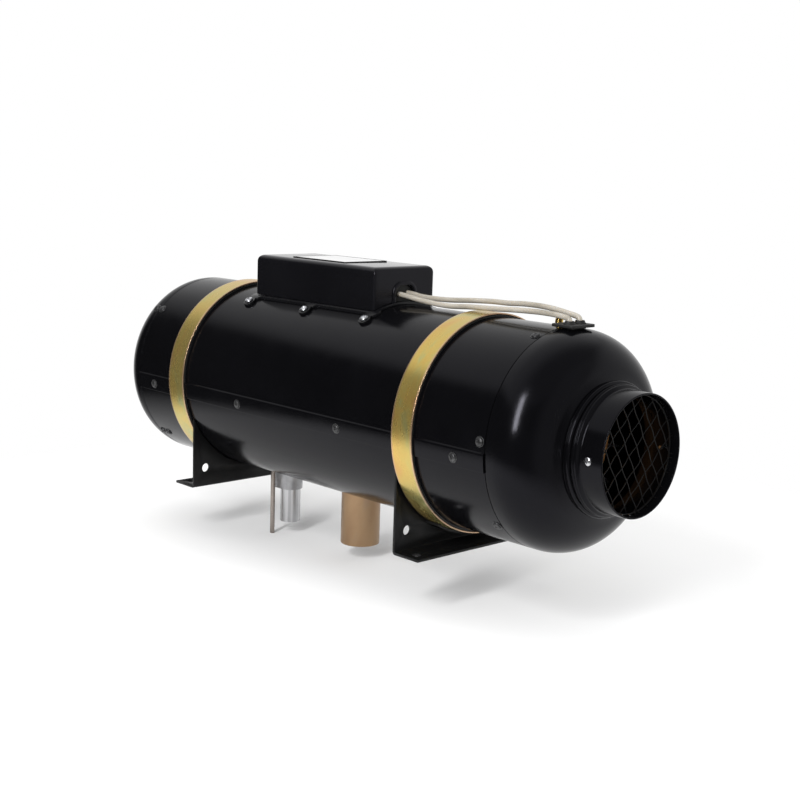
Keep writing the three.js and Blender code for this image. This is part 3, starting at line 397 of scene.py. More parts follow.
class Look(Nodes):
    """A Principled material built from object-space noise."""

    def __init__(self, **sockets):
        self.material = bpy.data.materials.new("look")
        self.material.use_nodes = True
        super().__init__(self.material.node_tree)
        self.shader = self.tree.nodes["Principled BSDF"]
        for socket, value in sockets.items():
            self.shader.inputs[socket.replace("_", " ")].default_value = value
        self.place = self.node("ShaderNodeTexCoord").outputs["Object"]
        self.normal = None

    def noise(self, scale, detail=3.0, stretch=EVEN, rough=0.5, distortion=0.0):
        mapping = self.node("ShaderNodeMapping")
        mapping.inputs["Scale"].default_value = stretch
        self.link(self.place, mapping.inputs["Vector"])
        made = self.node("ShaderNodeTexNoise", Scale=scale, Detail=detail, Roughness=rough)
        made.inputs["Distortion"].default_value = distortion
        self.link(mapping.outputs["Vector"], made.inputs["Vector"])
        return made.outputs["Fac"]

    def cells(self, scale):
        made = self.node("ShaderNodeTexVoronoi", Scale=scale)
        self.link(self.place, made.inputs["Vector"])
        return made.outputs["Distance"]

    def ramp(self, factor, *stops):
        made = self.node("ShaderNodeValToRGB")
        while len(made.color_ramp.elements) < len(stops):
            made.color_ramp.elements.new(0.5)
        for element, (place, colour) in zip(made.color_ramp.elements, stops):
            element.position, element.color = place, (*colour, 1)
        self.link(factor, made.inputs["Fac"])
        return made.outputs["Color"]

    def mix(self, factor, source, tint):
        made = self.node("ShaderNodeMix", data_type="RGBA")
        self.link(factor, made.inputs["Factor"])
        self.link(source, made.inputs[6])
        made.inputs[7].default_value = (*tint, 1)
        return made.outputs[2]

    def colour(self, source):
        self.link(source, self.shader.inputs["Base Color"])

    def roughness(self, source):
        self.link(source, self.shader.inputs["Roughness"])

    def bump(self, height, distance, strength=1.0):
        made = self.node("ShaderNodeBump", Distance=distance, Strength=strength)
        self.link(height, made.inputs["Height"])
        if self.normal is not None:
            self.link(self.normal, made.inputs["Normal"])
        self.normal = made.outputs["Normal"]
        self.link(self.normal, self.shader.inputs["Normal"])


def plain_look(colour, roughness, bump, **sockets):
    """Look of three noises: colour stops, a range of roughness, and height and strength of the bump."""
    look = Look(**sockets)
    pattern, *stops = colour
    look.colour(look.ramp(look.noise(*pattern), *stops))
    pattern, low, high = roughness
    look.roughness(look.levels(look.noise(*pattern), low, high))
    pattern, height, strength = bump
    look.bump(look.noise(*pattern), height, strength)
    return look


def black_paint():
    # The faint blue of the base colour and of the specular tint is a painted reflection tint, for the
    # bluish surroundings that the paint reflects.
    look = plain_look(
        colour=((9, 4, EVEN, 0.6), (0.3, (0.0017, 0.0017, 0.0021)), (0.7, (0.0026, 0.0026, 0.0032))),
        roughness=((35, 5, EVEN, 0.6), 0.14, 0.21), bump=((420, 2), 0.00003, 0.5),
        Specular_IOR_Level=0.13, Specular_Tint=(0.88, 0.87, 1.0, 1.0))
    look.bump(look.noise(14, 1), 0.0004, 0.1)
    return look


def black_sheet_metal():
    return plain_look(
        colour=((22, 5, EVEN, 0.65), (0.3, (0.003, 0.003, 0.0032)), (0.7, (0.0058, 0.0058, 0.006))),
        roughness=((60, 4), 0.32, 0.46), bump=((900, 3), 0.00003, 0.6), Specular_IOR_Level=0.22)


def black_plastic():
    look = Look(Specular_IOR_Level=0.3)
    grain = look.noise(16, 3)
    look.colour(look.ramp(grain, (0.3, (0.0036, 0.0036, 0.0042)), (0.7, (0.0052, 0.0052, 0.0062))))
    look.roughness(look.levels(look.noise(40, 4), 0.22, 0.3))
    look.bump(look.cells(1600), 0.00002, 0.4)
    return look


def box_plastic():
    """Glossy moulding, more mirror-like where it is seen at a low angle."""
    # The bluish base colour and the lilac specular tint are a painted reflection tint, for the lilac-grey
    # sheen that the moulding shows at a low angle.
    look = Look(Specular_Tint=(0.93, 0.9, 1.0, 1.0))
    grain = look.noise(16, 3)
    look.colour(look.ramp(grain, (0.3, (0.0030, 0.0030, 0.0038)), (0.7, (0.0044, 0.0044, 0.0054))))
    facing = look.node("ShaderNodeLayerWeight", Blend=0.5).outputs["Facing"]
    look.roughness(look.levels(facing, 0.24, 0.09, 0.5, 0.8))
    look.link(look.levels(facing, 0.2, 0.9, 0.5, 0.8), look.shader.inputs["Specular IOR Level"])
    look.bump(look.noise(700, 2), 0.00001, 0.3)
    return look


def black_rubber():
    return plain_look(
        colour=((40, 4), (0.3, (0.006, 0.006, 0.006)), (0.7, (0.013, 0.013, 0.0125))),
        roughness=((90, 3), 0.5, 0.68), bump=((1400, 3), 0.00003, 0.5), Specular_IOR_Level=0.4)


def yellow_zinc():
    """Chromate film in gold and green, pinker towards the strap's two edges."""
    look = Look(Metallic=0.82)
    film = look.noise(24, 3, (1.6, 1, 1), 0.6, 0.6)
    gold = look.ramp(
        film, (0.28, (0.60, 0.34, 0.12)), (0.42, (0.60, 0.41, 0.11)), (0.54, (0.58, 0.43, 0.12)),
        (0.66, (0.49, 0.44, 0.16)), (0.8, (0.40, 0.42, 0.22)))
    tinted = look.mix(look.levels(look.noise(7, 2), 0.0, 0.5, 0.44, 0.64), gold, (0.44, 0.43, 0.18))
    across = look.node("ShaderNodeAttribute", attribute_name="across")
    rim = look.levels(look.math("ABSOLUTE", across.outputs["Fac"]), 0.0, 0.7, 0.8, 1.0)
    look.colour(look.mix(rim, tinted, (0.52, 0.33, 0.27)))
    look.roughness(look.levels(look.noise(30, 5, (1, 0.5, 0.5), 0.6), 0.2, 0.32))
    look.bump(look.noise(120, 2, (4, 0.4, 0.4)), 0.00003, 0.12)
    return look


def screw_black():
    return plain_look(
        colour=((200, 3), (0.3, (0.05, 0.05, 0.052)), (0.7, (0.09, 0.09, 0.092))),
        roughness=((260, 3), 0.34, 0.46), bump=((900, 2), 0.00002, 0.4), Metallic=0.85)


def heated_steel():
    """Grey-brown of a plain pipe."""
    return plain_look(
        colour=((60, 3, (1, 1, 0.3)), (0.3, (0.24, 0.21, 0.19)), (0.7, (0.36, 0.32, 0.29))),
        roughness=((90, 3), 0.26, 0.38), bump=((500, 2), 0.00002, 0.4), Metallic=1.0)


def bright_steel():
    return plain_look(
        colour=((120, 3), (0.3, (0.50, 0.50, 0.52)), (0.7, (0.68, 0.69, 0.72))),
        roughness=((200, 4), 0.16, 0.3), bump=((1500, 2), 0.00002, 0.4), Metallic=1.0)


def turned_aluminium():
    return plain_look(
        colour=((90, 2, (2.5, 2.5, 0.06)), (0.35, (0.42, 0.42, 0.43)), (0.65, (0.70, 0.70, 0.71))),
        roughness=((70, 2), 0.28, 0.34), bump=((220, 2, (1, 1, 0.1)), 0.00001, 0.3), Metallic=1.0)


def cast_aluminium():
    return plain_look(
        colour=((90, 4), (0.3, (0.32, 0.32, 0.33)), (0.7, (0.52, 0.52, 0.53))),
        roughness=((120, 4), 0.4, 0.58), bump=((700, 4), 0.0001, 0.5), Metallic=1.0)


def copper_sheet():
    return plain_look(
        colour=((18, 3, EVEN, 0.5, 0.8),
                (0.25, (0.80, 0.33, 0.08)), (0.5, (0.90, 0.46, 0.16)), (0.75, (0.66, 0.38, 0.22))),
        roughness=((60, 4), 0.3, 0.42), bump=((300, 2), 0.00003, 0.4), Metallic=0.5)


def browned_steel():
    return plain_look(
        colour=((24, 4, (1, 1, 0.5), 0.5, 0.6),
                (0.25, (0.28, 0.17, 0.10)), (0.55, (0.36, 0.24, 0.14)), (0.8, (0.30, 0.23, 0.18))),
        roughness=((70, 4), 0.28, 0.42), bump=((260, 3, (5, 5, 0.5)), 0.00003, 0.4), Metallic=1.0)


def sensor_brass():
    return plain_look(
        colour=((150, 3), (0.3, (0.60, 0.40, 0.10)), (0.7, (0.78, 0.56, 0.20))),
        roughness=((200, 3), 0.16, 0.28), bump=((500, 2, (1, 1, 12)), 0.00002, 0.4), Metallic=1.0)


def lead_silicone():
    return plain_look(
        colour=((45, 3, (0.5, 2.5, 2.5), 0.5, 0.6),
                (0.28, (0.24, 0.22, 0.18)), (0.5, (0.35, 0.32, 0.27)), (0.72, (0.42, 0.39, 0.34))),
        roughness=((120, 3), 0.26, 0.38), bump=((600, 2), 0.00003, 0.3),
        Specular_IOR_Level=0.5,
        Subsurface_Weight=0.25, Subsurface_Scale=0.002, Subsurface_Radius=(1.0, 0.8, 0.55))


def circuit_board():
    look = Look(Specular_IOR_Level=0.5)
    look.colour(look.ramp(look.cells(160), (0.1, (0.02, 0.13, 0.05)), (0.6, (0.03, 0.19, 0.08))))
    look.roughness(look.levels(look.noise(100, 2), 0.3, 0.45))
    look.bump(look.cells(160), 0.0001, 0.3)
    return look


def label_film():
    return plain_look(
        colour=((30, 3, (0.3, 3, 1)), (0.3, (0.72, 0.72, 0.72)), (0.7, (0.80, 0.80, 0.81))),
        roughness=((50, 4), 0.28, 0.4), bump=((500, 2, (0.2, 4, 1)), 0.00002, 0.4), Metallic=0.1)


def label_border():
    return plain_look(
        colour=((60, 3), (0.3, (0.004, 0.004, 0.004)), (0.7, (0.008, 0.008, 0.008))),
        roughness=((70, 3), 0.35, 0.5), bump=((900, 2), 0.00002, 0.4), Specular_IOR_Level=0.4)


LOOKS = {}
for build in (
        black_paint, black_sheet_metal, black_plastic, box_plastic, black_rubber, yellow_zinc, screw_black,
        heated_steel, bright_steel, turned_aluminium, cast_aluminium, copper_sheet, browned_steel,
        sensor_brass, lead_silicone, circuit_board, label_film, label_border):
    LOOKS[build.__name__] = build().material
    LOOKS[build.__name__].name = build.__name__


# ---- camera, floor and light
CAMERA_TURNS = (46.39, 9.8, 1.92)
CAMERA_TARGET, CAMERA_DISTANCE = Vector((-227.01, 16.68, 0)), 1379.46
CAMERA_LENS, CAMERA_SENSOR = 61.21, 36
FLOOR_Z = -0.0522
FLOOR_MIDDLE = Vector((-0.14, 0.0, FLOOR_Z))
FLOOR_FADE = (0.44, 0.66)
MIDDLE = (-0.14, 0, 0.12)
MOUTH = metres((60, 0, 0))


def add_camera():
    yaw, pitch, roll = (math.radians(v) for v in CAMERA_TURNS)
    back = Vector((math.sin(yaw) * math.cos(pitch), -math.cos(yaw) * math.cos(pitch), math.sin(pitch)))
    right = Vector((math.cos(yaw), math.sin(yaw), 0))
    up = back.cross(right)
    across = right * math.cos(roll) + up * math.sin(roll)
    upward = up * math.cos(roll) - right * math.sin(roll)
    place = Vector(metres(CAMERA_TARGET + back * CAMERA_DISTANCE))
    camera = new_object("camera", bpy.data.cameras.new("camera"))
    camera.data.lens, camera.data.sensor_width = CAMERA_LENS, CAMERA_SENSOR
    camera.data.clip_start, camera.data.clip_end = 0.05, 50
    rows = [(across[i], upward[i], back[i], place[i]) for i in range(3)]
    camera.matrix_world = Matrix((*rows, (0, 0, 0, 1)))
    bpy.context.scene.camera = camera




def add_floor():
    sides, rings, reach = 96, 12, 1.5
    circles = []
    for k in range(1, rings + 1):
        around = circle(reach * k / rings, sides)
        circles.append([tuple(FLOOR_MIDDLE + Vector((x, y, 0))) for x, y in around])
    points, faces = loft(circles, caps=False)
    faces.append(tuple(range(sides)))
    mesh = bpy.data.meshes.new("floor")
    mesh.from_pydata(points, [], faces)
    look = Look(Specular_IOR_Level=0.1, Roughness=0.8)
    look.material.name = "pale_floor"
    look.colour(look.ramp(look.noise(3, 3), (0.3, (0.93, 0.93, 0.93)), (0.7, (0.95, 0.95, 0.95))))
    clear = look.node("ShaderNodeBsdfTransparent")
    mixer = look.node("ShaderNodeMixShader")
    distance = look.node("ShaderNodeVectorMath", operation="DISTANCE")
    look.link(look.place, distance.inputs[0])
    distance.inputs[1].default_value = FLOOR_MIDDLE
    look.link(look.levels(distance.outputs["Value"], 0, 1, *FLOOR_FADE), mixer.inputs["Fac"])
    look.link(look.shader.outputs["BSDF"], mixer.inputs[1])
    look.link(clear.outputs["BSDF"], mixer.inputs[2])
    look.link(mixer.outputs["Shader"], look.tree.nodes["Material Output"].inputs["Surface"])
    mesh.materials.append(look.material)
    floor = new_object("floor", mesh)


def add_world():
    """A white backdrop behind the object, a dark room in front of it, and a soft ceiling."""
    world = bpy.data.worlds.new("studio")
    bpy.context.scene.world = world
    world.use_nodes = True
    sky = Nodes(world.node_tree)
    sky.tree.nodes.clear()
    direction = sky.node("ShaderNodeTexCoord").outputs["Generated"]
    split = sky.node("ShaderNodeSeparateXYZ")
    sky.link(direction, split.inputs["Vector"])

    def toward(azimuth):
        turn = math.radians(azimuth)
        made = sky.node("ShaderNodeVectorMath", operation="DOT_PRODUCT")
        sky.link(direction, made.inputs[0])
        made.inputs[1].default_value = (math.sin(turn), -math.cos(turn), 0.0)
        return made.outputs["Value"]

    def smooth(source, start, end, low, high):
        return sky.levels(source, low, high, start, end, interpolation_type="SMOOTHSTEP")

    backdrop = smooth(toward(-133.6), 0.45, 0.8, 0.0, 0.9)
    behind = smooth(toward(168), 0.6, 0.86, 0.0, 0.8)
    side = smooth(toward(112), 0.35, 0.85, 0.0, 0.4)
    above = smooth(split.outputs["Z"], 0.5, 0.62, 0.0, 0.9)
    ceiling = sky.math("MULTIPLY", above, smooth(toward(-100), -0.25, 0.3, 0.3, 1.0))
    glossy = 0.03
    for part in (backdrop, behind, side, ceiling):
        glossy = sky.math("MAXIMUM", part, glossy)
    path = sky.node("ShaderNodeLightPath")
    mirrored = sky.math("MAXIMUM", path.outputs["Is Glossy Ray"], path.outputs["Is Transmission Ray"])
    seen = path.outputs["Is Camera Ray"]
    diffuse = 0.9
    lit = sky.math("ADD", sky.math("MULTIPLY", mirrored, glossy),
                   sky.math("MULTIPLY", sky.math("SUBTRACT", 1.0, mirrored), diffuse))
    strength = sky.math("ADD", seen, sky.math("MULTIPLY", sky.math("SUBTRACT", 1.0, seen), lit))
    shader = sky.node("ShaderNodeBackground", Color=(1, 1, 1, 1))
    sky.link(strength, shader.inputs["Strength"])
    sky.link(shader.outputs["Background"], sky.node("ShaderNodeOutputWorld").inputs["Surface"])


def add_lamp(name, target, azimuth, elevation, distance, size, power, mirrored=True):
    """Soft lamp that looks at a point of the part; azimuth 0 stands at -Y, 90 at +X."""
    a, e = math.radians(azimuth), math.radians(elevation)
    away = Vector((math.sin(a) * math.cos(e), -math.cos(a) * math.cos(e), math.sin(e)))
    data = bpy.data.lights.new(name, "AREA")
    data.shape, data.size, data.size_y, data.energy = "RECTANGLE", size[0], size[1], power
    lamp = new_object(name, data)
    lamp.location = Vector(target) + away * distance
    lamp.rotation_mode = "QUATERNION"
    lamp.rotation_quaternion = away.to_track_quat("Z", "Y")
    lamp.visible_camera = False
    lamp.visible_glossy = mirrored


def add_light():
    add_world()
    add_lamp("ceiling", MIDDLE, -95, 62, 1.7, (1.5, 0.9), 5, False)
    add_lamp("strip", MIDDLE, 18, 28, 1.6, (0.24, 0.9), 20)
    add_lamp("mouth", MOUTH, 98, 8, 1.3, (0.25, 0.25), 8, False)


# ---- casing shells
def lap_radius(angle):
    """Outer radius of the upper shell at an angle above the horizontal."""
    rise = min(1.0, max(0.0, (angle + 0.95) / 0.65))
    return LAP_OUTER + (CASING - LAP_OUTER) * (0.5 - 0.5 * math.cos(math.pi * rise))


def upper_shell():
    """Half tube whose lower edges step out over the lower shell."""
    angles = [LAP_END, LAP_END + 0.05, LAP_END + 0.25] + [-10 + 0.9 * k for k in range(10)]
    angles += [-0.95 + 0.13 * k for k in range(6)] + [1.5 * k for k in range(61)]

    def eased(angle):
        return 0.35 if angle < LAP_END + 0.03 else 0.1 if angle < LAP_END + 0.15 else 0

    def wall(angle):
        return 1.2 if angle < -1 else SHEET if angle > 0 else 1.35

    outer = [on_circle(lap_radius(a) - eased(a), a) for a in angles]
    inner = [on_circle(lap_radius(a) - wall(a), a) for a in angles]
    left_outer = [(-y, z) for y, z in reversed(outer[:-1])]
    left_inner = [(-y, z) for y, z in inner[:-1]]
    outline = [*outer, *left_outer, *left_inner, *reversed(inner)]
    form = prism(outline, -LENGTH + SEAT, -SEAT, "x")
    add("upper_shell", form, "black_paint", ("casing_upper_shell",))


def port_outline(clearance):
    radius = PORT_RADIUS + clearance
    return [*arc(radius, -90, 90, 32, (AIR_X, 0)), *arc(radius, 90, 270, 32, (AIR_X - PORT_LOBE, 0))]


def lower_shell():
    start, end = 180 + SEAM_ANGLE, 360 - SEAM_ANGLE
    outline = [*arc(CASING, start, end, 120), *arc(INNER, end, start, 120)]
    form = prism(outline, -LENGTH + SEAT, -SEAT, "x")
    tools = [
        bar((EXHAUST_X, 0, -80), (EXHAUST_X, 0, -110), EXHAUST_RADIUS + 0.8, 72),
        prism(port_outline(0.5), -110, -80, "z"),
        bar((FUEL_X, FUEL_Y, -80), (FUEL_X, FUEL_Y, -110), FUEL_RADIUS + 0.5, 40),
    ]
    add("lower_shell", boolean(form, tools), "black_paint", ("casing_lower_shell",))


def dome(offset, steps):
    reach, rise = DOME_DEPTH - offset, CASING - DOME_MIDDLE - offset
    return quarter(DOME_START, DOME_MIDDLE, reach, rise, steps, DOME_END)


def outlet_hood():
    outline = filleted([
        (-SPIGOT_LENGTH, SPIGOT), (SEAT, SPIGOT), (SEAT, CASING, 0.4), *dome(0, 30),
        (51.6, 58.0, 2.4), (52.6, 60.2, 2.2), (56.8, 60.2, 2.2), (57.5, 57.6, 0.4), (57.5, NECK - SHEET),
        (50.6, NECK - SHEET), *reversed(dome(SHEET, 20)), (-SPIGOT_LENGTH, SPIGOT - SHEET)], 6)
    add("hood", turned(outline, 192), "black_paint", ("outlet_hood",))


def outlet_spout():
    sleeve = NECK - SHEET - SEAT
    outline = filleted([
        (49.8, sleeve), (57.8, sleeve), (57.8, 57.3, 0.7), (58.2, 58.0, 0.9), (60.2, 58.0, 0.9),
        (60.9, 57.0, 0.5), (61.6, 57.5, 0.6), (62.8, 57.3, 0.8), (64.6, DUCT, 2.5), (SPOUT_END, DUCT, 0.6),
        (SPOUT_END, DUCT - SHEET, 0.5), (62.3, DUCT - SHEET, 1), (58.8, DUCT + 0.9), (49.8, DUCT + 0.9)], 5)
    holes = [spoke(SPOUT_SCREW_X, angle, 48, 60, 2.0, 24) for angle in (0, 180)]
    form = boolean(turned(outline, 160), holes)
    add("spout", form, "black_paint", ("outlet_spout",))


def intake_hood():
    def corner(offset, steps):
        reach, rise = INTAKE_DEPTH - offset, INTAKE_CORNER - offset
        return quarter(INTAKE_END + INTAKE_DEPTH, CASING - INTAKE_CORNER, -reach, rise, steps)

    inner, seam = SPIGOT_LENGTH - LENGTH, -LENGTH - SEAT
    outline = filleted([
        (inner, SPIGOT), (seam, SPIGOT), (seam, CASING, 0.4), *corner(0, 16),
        (INTAKE_END, DUCT, 2.5), (-574.4, DUCT, 1), (-575.8, DUCT + 1, 0.8), (COLLAR_END, DUCT + 0.6, 0.4),
        (COLLAR_END, DUCT - SHEET, 0.4), (INTAKE_END + SHEET, DUCT - SHEET, 2),
        *reversed(corner(SHEET, 12)), (inner, SPIGOT - SHEET)])
    add("rear_hood", turned(outline, 192), "black_paint", ("intake_hood",))


# ---- fasteners
def cross_recess(radius, top, depth):
    """Tapered cross, as two crossed wedges, to cut out of a head."""
    wedges = []
    for along in (0, 1):
        low, high = (0.16 * radius, 0.06 * radius), (0.62 * radius, 0.19 * radius)
        rings = []
        for (length, width), h in ((low, top - depth), (high, top + 0.4)):
            ring = [(length, width), (-length, width), (-length, -width), (length, -width)]
            rings.append([(v, -u, h) if along else (u, v, h) for u, v in ring])
        wedges.append(loft(rings))
    return wedges


def make_head(radius, height, edge, recess):
    """Domed screw head with its seat at height 0, about the Z axis."""
    steps = 7
    outline = [(0, 0), (radius * 0.96, 0)]
    outline += [(r, h) for h, r in quarter(edge, 0, height - edge, radius, steps)]
    form = turned_about(outline)
    return boolean(form, cross_recess(radius, height, recess))


def on_casing(form, x, angle, radius, spin=0.0):
    """Form placed on the casing at an angle above +Y."""
    return placed(form, (x, *on_circle(radius, angle)), (0, *on_circle(1, angle)), spin)


def casing_screws():
    """Black button heads: seam strips, front ring and the pairs at the intake hood."""
    head = make_head(3.9, 1.9, 0.5, 1.0)
    washer = turned_about(filleted([(0, 0), (4.9, 0), (4.9, 0.45, 0.3), (0, 0.45)]))
    whole = merged(washer, moved(head, z=0.4))
    spots = [(x, SEAM_SCREW_ANGLE, LAP_OUTER) for x in SEAM_SCREWS]
    spots += [(RING_SCREW_X, angle, CASING) for angle in RING_SCREW_ANGLES]
    spots += [(x, angle, CASING) for x, angle in HOOD_SCREWS]
    forms = []
    for k, (x, angle, radius) in enumerate(spots):
        for side, turn in (("near", 180 - angle), ("far", angle)):
            if side == "far" and angle == RING_SCREW_ANGLES[0]:
                continue
            forms.append(on_casing(whole, x, turn, radius - 0.05, 31 * k))
    form = merged(*forms)
    add("casing_screws", form, "screw_black", slot="black_sheet_metal")


def lug_screws():
    head = make_head(4.4, 2.6, 0.7, 1.4)
    shank = bar((0, 0, 0.2), (0, 0, -6.5), 1.9, 20)
    for k, x in enumerate(LUG_X):
        for side, angle in (("near", 180 - LUG_ANGLE), ("far", LUG_ANGLE)):
            form = on_casing(merged(head, shank), x, angle, BASE_TOP + SEAT, 20 + 37 * k)
            add(f"{side}_lug_screw_{k + 1}", form, "bright_steel",
                (f"lug_screw_{side}_{k + 1}",))


def spout_screws():
    head = make_head(3.9, 2.1, 0.5, 1.2)
    shank = bar((0, 0, 0.2), (0, 0, -9.5), 1.6, 20)
    for side, angle in (("left", 180), ("right", 0)):
        form = on_casing(merged(head, shank), SPOUT_SCREW_X, angle, DUCT + SEAT, 25)
        add(f"duct_screw_{side}", form, "bright_steel", (f"spout_screw_{side}",))


# ---- straps and brackets
def strap_path():
    half_gap = math.degrees(STRAP_GAP / 2 / STRAP_INNER)
    start, end = STRAP_GAP_ANGLE + half_gap, STRAP_GAP_ANGLE - half_gap + 360
    bend, slit = STRAP_BEND, 0.6
    heights = (STRAP_OUTER + EAR, STRAP_OUTER + EAR / 2, STRAP_INNER + bend + 2)
    path = []
    for angle, side in ((start, 1), (end, -1)):
        out, across = Vector(on_circle(1, angle)), Vector(on_circle(1, angle + 90)) * side
        leg = [out * height + across * slit for height in heights]
        for k in range(7):
            c, s = on_circle(bend, 15 * k)
            leg.append(out * (STRAP_INNER + bend - s) + across * (slit + bend - c))
        path.append([tuple(p) for p in leg])
    lean = math.degrees((slit + bend) / STRAP_INNER)
    band = arc(STRAP_INNER, start + lean + 1.2, end - lean - 1.2, 220)
    return [*path[0], *band, *reversed(path[1])], len(path[0])


def add_strap(end):
    rear = STRAPS[end]
    middle = rear + STRAP_WIDTH / 2
    path, leg = strap_path()
    edge = rounded_rectangle(-STRAP_WIDTH / 2, STRAP_WIDTH / 2, 0, STRAP_SHEET, 0.4, 3)
    flat = []
    for (x, h), (x1, h1) in zip(edge, [*edge[1:], edge[0]]):
        steps = max(1, round(abs(x1 - x) / 2))
        flat += [(x + (x1 - x) * k / steps, h + (h1 - h) * k / steps) for k in range(steps)]
    last = len(path) - 1

    def width(i):
        steps = min(i, last - i)
        widening = min(1.0, max(0.0, (steps - leg + 4) / 5))
        return EAR_SHARE + (1 - EAR_SHARE) * widening

    form = moved(swept(path, flat, width), middle)
    out = Vector(on_circle(STRAP_OUTER + EAR * 0.55, STRAP_GAP_ANGLE))
    across = Vector(on_circle(1, STRAP_GAP_ANGLE + 90))
    ends = [(middle, *(out + across * step)) for step in (-16, 16)]
    form = boolean(form, [bar(*ends, 3.1, 32)])
    piece = add(f"clamp_strap_{end}", form, "yellow_zinc", (f"strap_{end}",))
    attribute = piece.data.attributes.new("across", "FLOAT", "POINT")
    half = STRAP_WIDTH / 2 * MM
    centre = (middle + SHIFT.x) * MM
    attribute.data.foreach_set("value", [(v.co.x - centre) / half for v in piece.data.vertices])

    def nut(step):
        centre = (middle, *(out + across * step))
        beyond = (middle, *(out + across * (step + math.copysign(4, step))))
        return bevelled(bar(centre, beyond, 5.6, 6), 0.4, 2, 25)

    bolt = merged(
        bar((middle, *(out - across * 14.3)), (middle, *(out + across * 8.3)), 2.8, 32),
        nut(7.3), nut(-7.3),
    )
    add(f"clamp_bolt_{end}", bolt, "bright_steel", (f"strap_bolt_{end}",))
    start, end_x = rear + 0.5, rear + STRAP_WIDTH - 0.5
    liner = filleted([
        (start, LINER_INNER), (end_x, LINER_INNER), (end_x, LINER_OUTER, 0.6), (start, LINER_OUTER, 0.6)])
    add(f"strap_pad_{end}", turned(liner, 192), "black_rubber", (f"strap_liner_{end}",))


def add_bracket(end):
    face, facing = PLATES[end]

    def x(distance):
        return face + facing * distance

    reach = BRACKET_SHEET + BRACKET_FOOT
    profile = filleted([
        (x(0), -FOOT_DROP, 3.2), (x(reach), -FOOT_DROP, 0.4), (x(reach), -FOOT_DROP + BRACKET_SHEET, 0.4),
        (x(BRACKET_SHEET), -FOOT_DROP + BRACKET_SHEET, 1.0), (x(BRACKET_SHEET), -40), (x(0), -40)], 6)
    form = prism(profile, -BRACKET_HALF, BRACKET_HALF, "y")
    casing = bar((face - 30, 0, 0), (face + 30, 0, 0), BRACKET_ARC, 192)
    saddle_inner = STRAP_OUTER + SEAT
    span = sorted((x(0.2), x(BRACKET_SHEET + 2.8 + 14)))
    sector = [*arc(saddle_inner, -120, -60, 48), *arc(saddle_inner + BRACKET_SHEET, -60, -120, 48)]
    saddle = prism(sector, *span, "x")
    holes = []
    for side in (-1, 1):
        y, z = side * PLATE_HOLE_Y, PLATE_HOLE_Z
        holes.append(bar((x(-5), y, z), (x(10), y, z), PLATE_HOLE, 48))
        y = side * FOOT_HOLE_Y
        holes.append(bar((x(FOOT_HOLE_X), y, -130), (x(FOOT_HOLE_X), y, -105), FOOT_HOLE, 48))
    form = boolean(form, [casing])
    form = boolean(form, [saddle], "UNION")
    form = bevelled(boolean(form, holes), 0.35, 2, 50)
    add(f"bracket_plate_{end}", form, "black_sheet_metal", (f"bracket_{end}",))


# ---- control box
def box_cover():
    def plan(inset):
        """Outline of the cover, with points along its sides for the curve of its foot."""
        x0, x1, half = BOX_REAR + inset, BOX_FRONT - inset, BOX_HALF - inset
        corner_steps, side_steps = 10, (36, 16)
        ring = rounded_rectangle(x0, x1, -half, half, max(BOX_CORNER - inset, 0.8), corner_steps)
        out = []
        for i, (u, v) in enumerate(ring):
            out.append((u, v))
            corner, step = divmod(i, corner_steps + 1)
            if step == corner_steps:
                u1, v1 = ring[(i + 1) % len(ring)]
                steps = side_steps[corner % 2]
                out += [(u + (u1 - u) * k / steps, v + (v1 - v) * k / steps) for k in range(1, steps)]
        return out

    foot = BASE_TOP + SEAT

    def low(inset):
        return [(u, v, math.sqrt(foot**2 - v * v)) for u, v in plan(inset)]

    def level(inset, z):
        return [(u, v, z) for u, v in plan(inset)]

    rings = []
    inner_edge = BOX_EDGE - 1
    top = BOX_TOP - BOX_WALL
    for turn in (90, 60, 30, 0):
        c, s = on_circle(inner_edge, turn)
        rings.append(level(BOX_WALL + inner_edge - c, top - inner_edge + s))
    rings += [low(BOX_WALL), low(0.5), [(u, v, z + 0.4) for u, v, z in low(0)]]
    for k in range(10):
        c, s = on_circle(BOX_EDGE, 10 * k)
        rings.append(level(BOX_EDGE - c, BOX_TOP - BOX_EDGE + s))
    form = loft(rings)
    opening = prism(arch(ARCH_HALF - ARCH_RIB, ARCH_TOP - ARCH_RIB, 8), BOX_FRONT - 9, BOX_FRONT + 4, "x")
    form = boolean(form, [opening])
    centre = [(y, z) for y, z in arch(ARCH_HALF - ARCH_RIB / 2, ARCH_TOP - ARCH_RIB / 2, 9.5, 102.0)]
    rim = filleted([(-3, -2), (1.6, -2, 1.2), (1.6, 2, 1.2), (-3, 2)], 5)
    section = [(BOX_FRONT + x, h) for x, h in rim]
    rib = swept(centre, section)
    add("box_cover", merged(form, rib), "box_plastic", ("control_box_cover",), "black_plastic")


def arch(half, top, corner, foot=90.0):
    return [
        (half, foot),
        *arc(corner, 0, 90, 10, (half - corner, top - corner)),
        *arc(corner, 90, 180, 10, (-half + corner, top - corner)),
        (-half, foot),
    ]


def box_base():
    band = turned([(-410, BASE_INNER), (-190, BASE_INNER), (-190, BASE_TOP), (-410, BASE_TOP)], 256)
    half = BOX_HALF + BASE_LIP
    footprint = rounded_rectangle(BOX_REAR - BASE_LIP, BOX_FRONT + BASE_LIP, -half, half, 9, 10)
    lugs = []
    for x in LUG_X:
        for angle in (LUG_ANGLE, 180 - LUG_ANGLE):
            inboard = angle + 7 if angle < 90 else angle - 7
            lugs.append(spoke(x, angle, 96, 108, 6.5, 40))
            lugs.append(spoke(x, inboard, 96, 108, 7.9, 40))
    shape = boolean(prism(footprint, 60, 115, "z"), lugs, "UNION")
    plate = bevelled(boolean(band, [shape], "INTERSECT"), 0.5, 3, 50)
    posts = [bar((x, y, 99.5), (x, y, 111.7), 3.5, 24) for x in POST_X for y in (-POST_Y, POST_Y)]
    add("box_base", merged(plate, *posts), "black_plastic", ("control_box_base",))


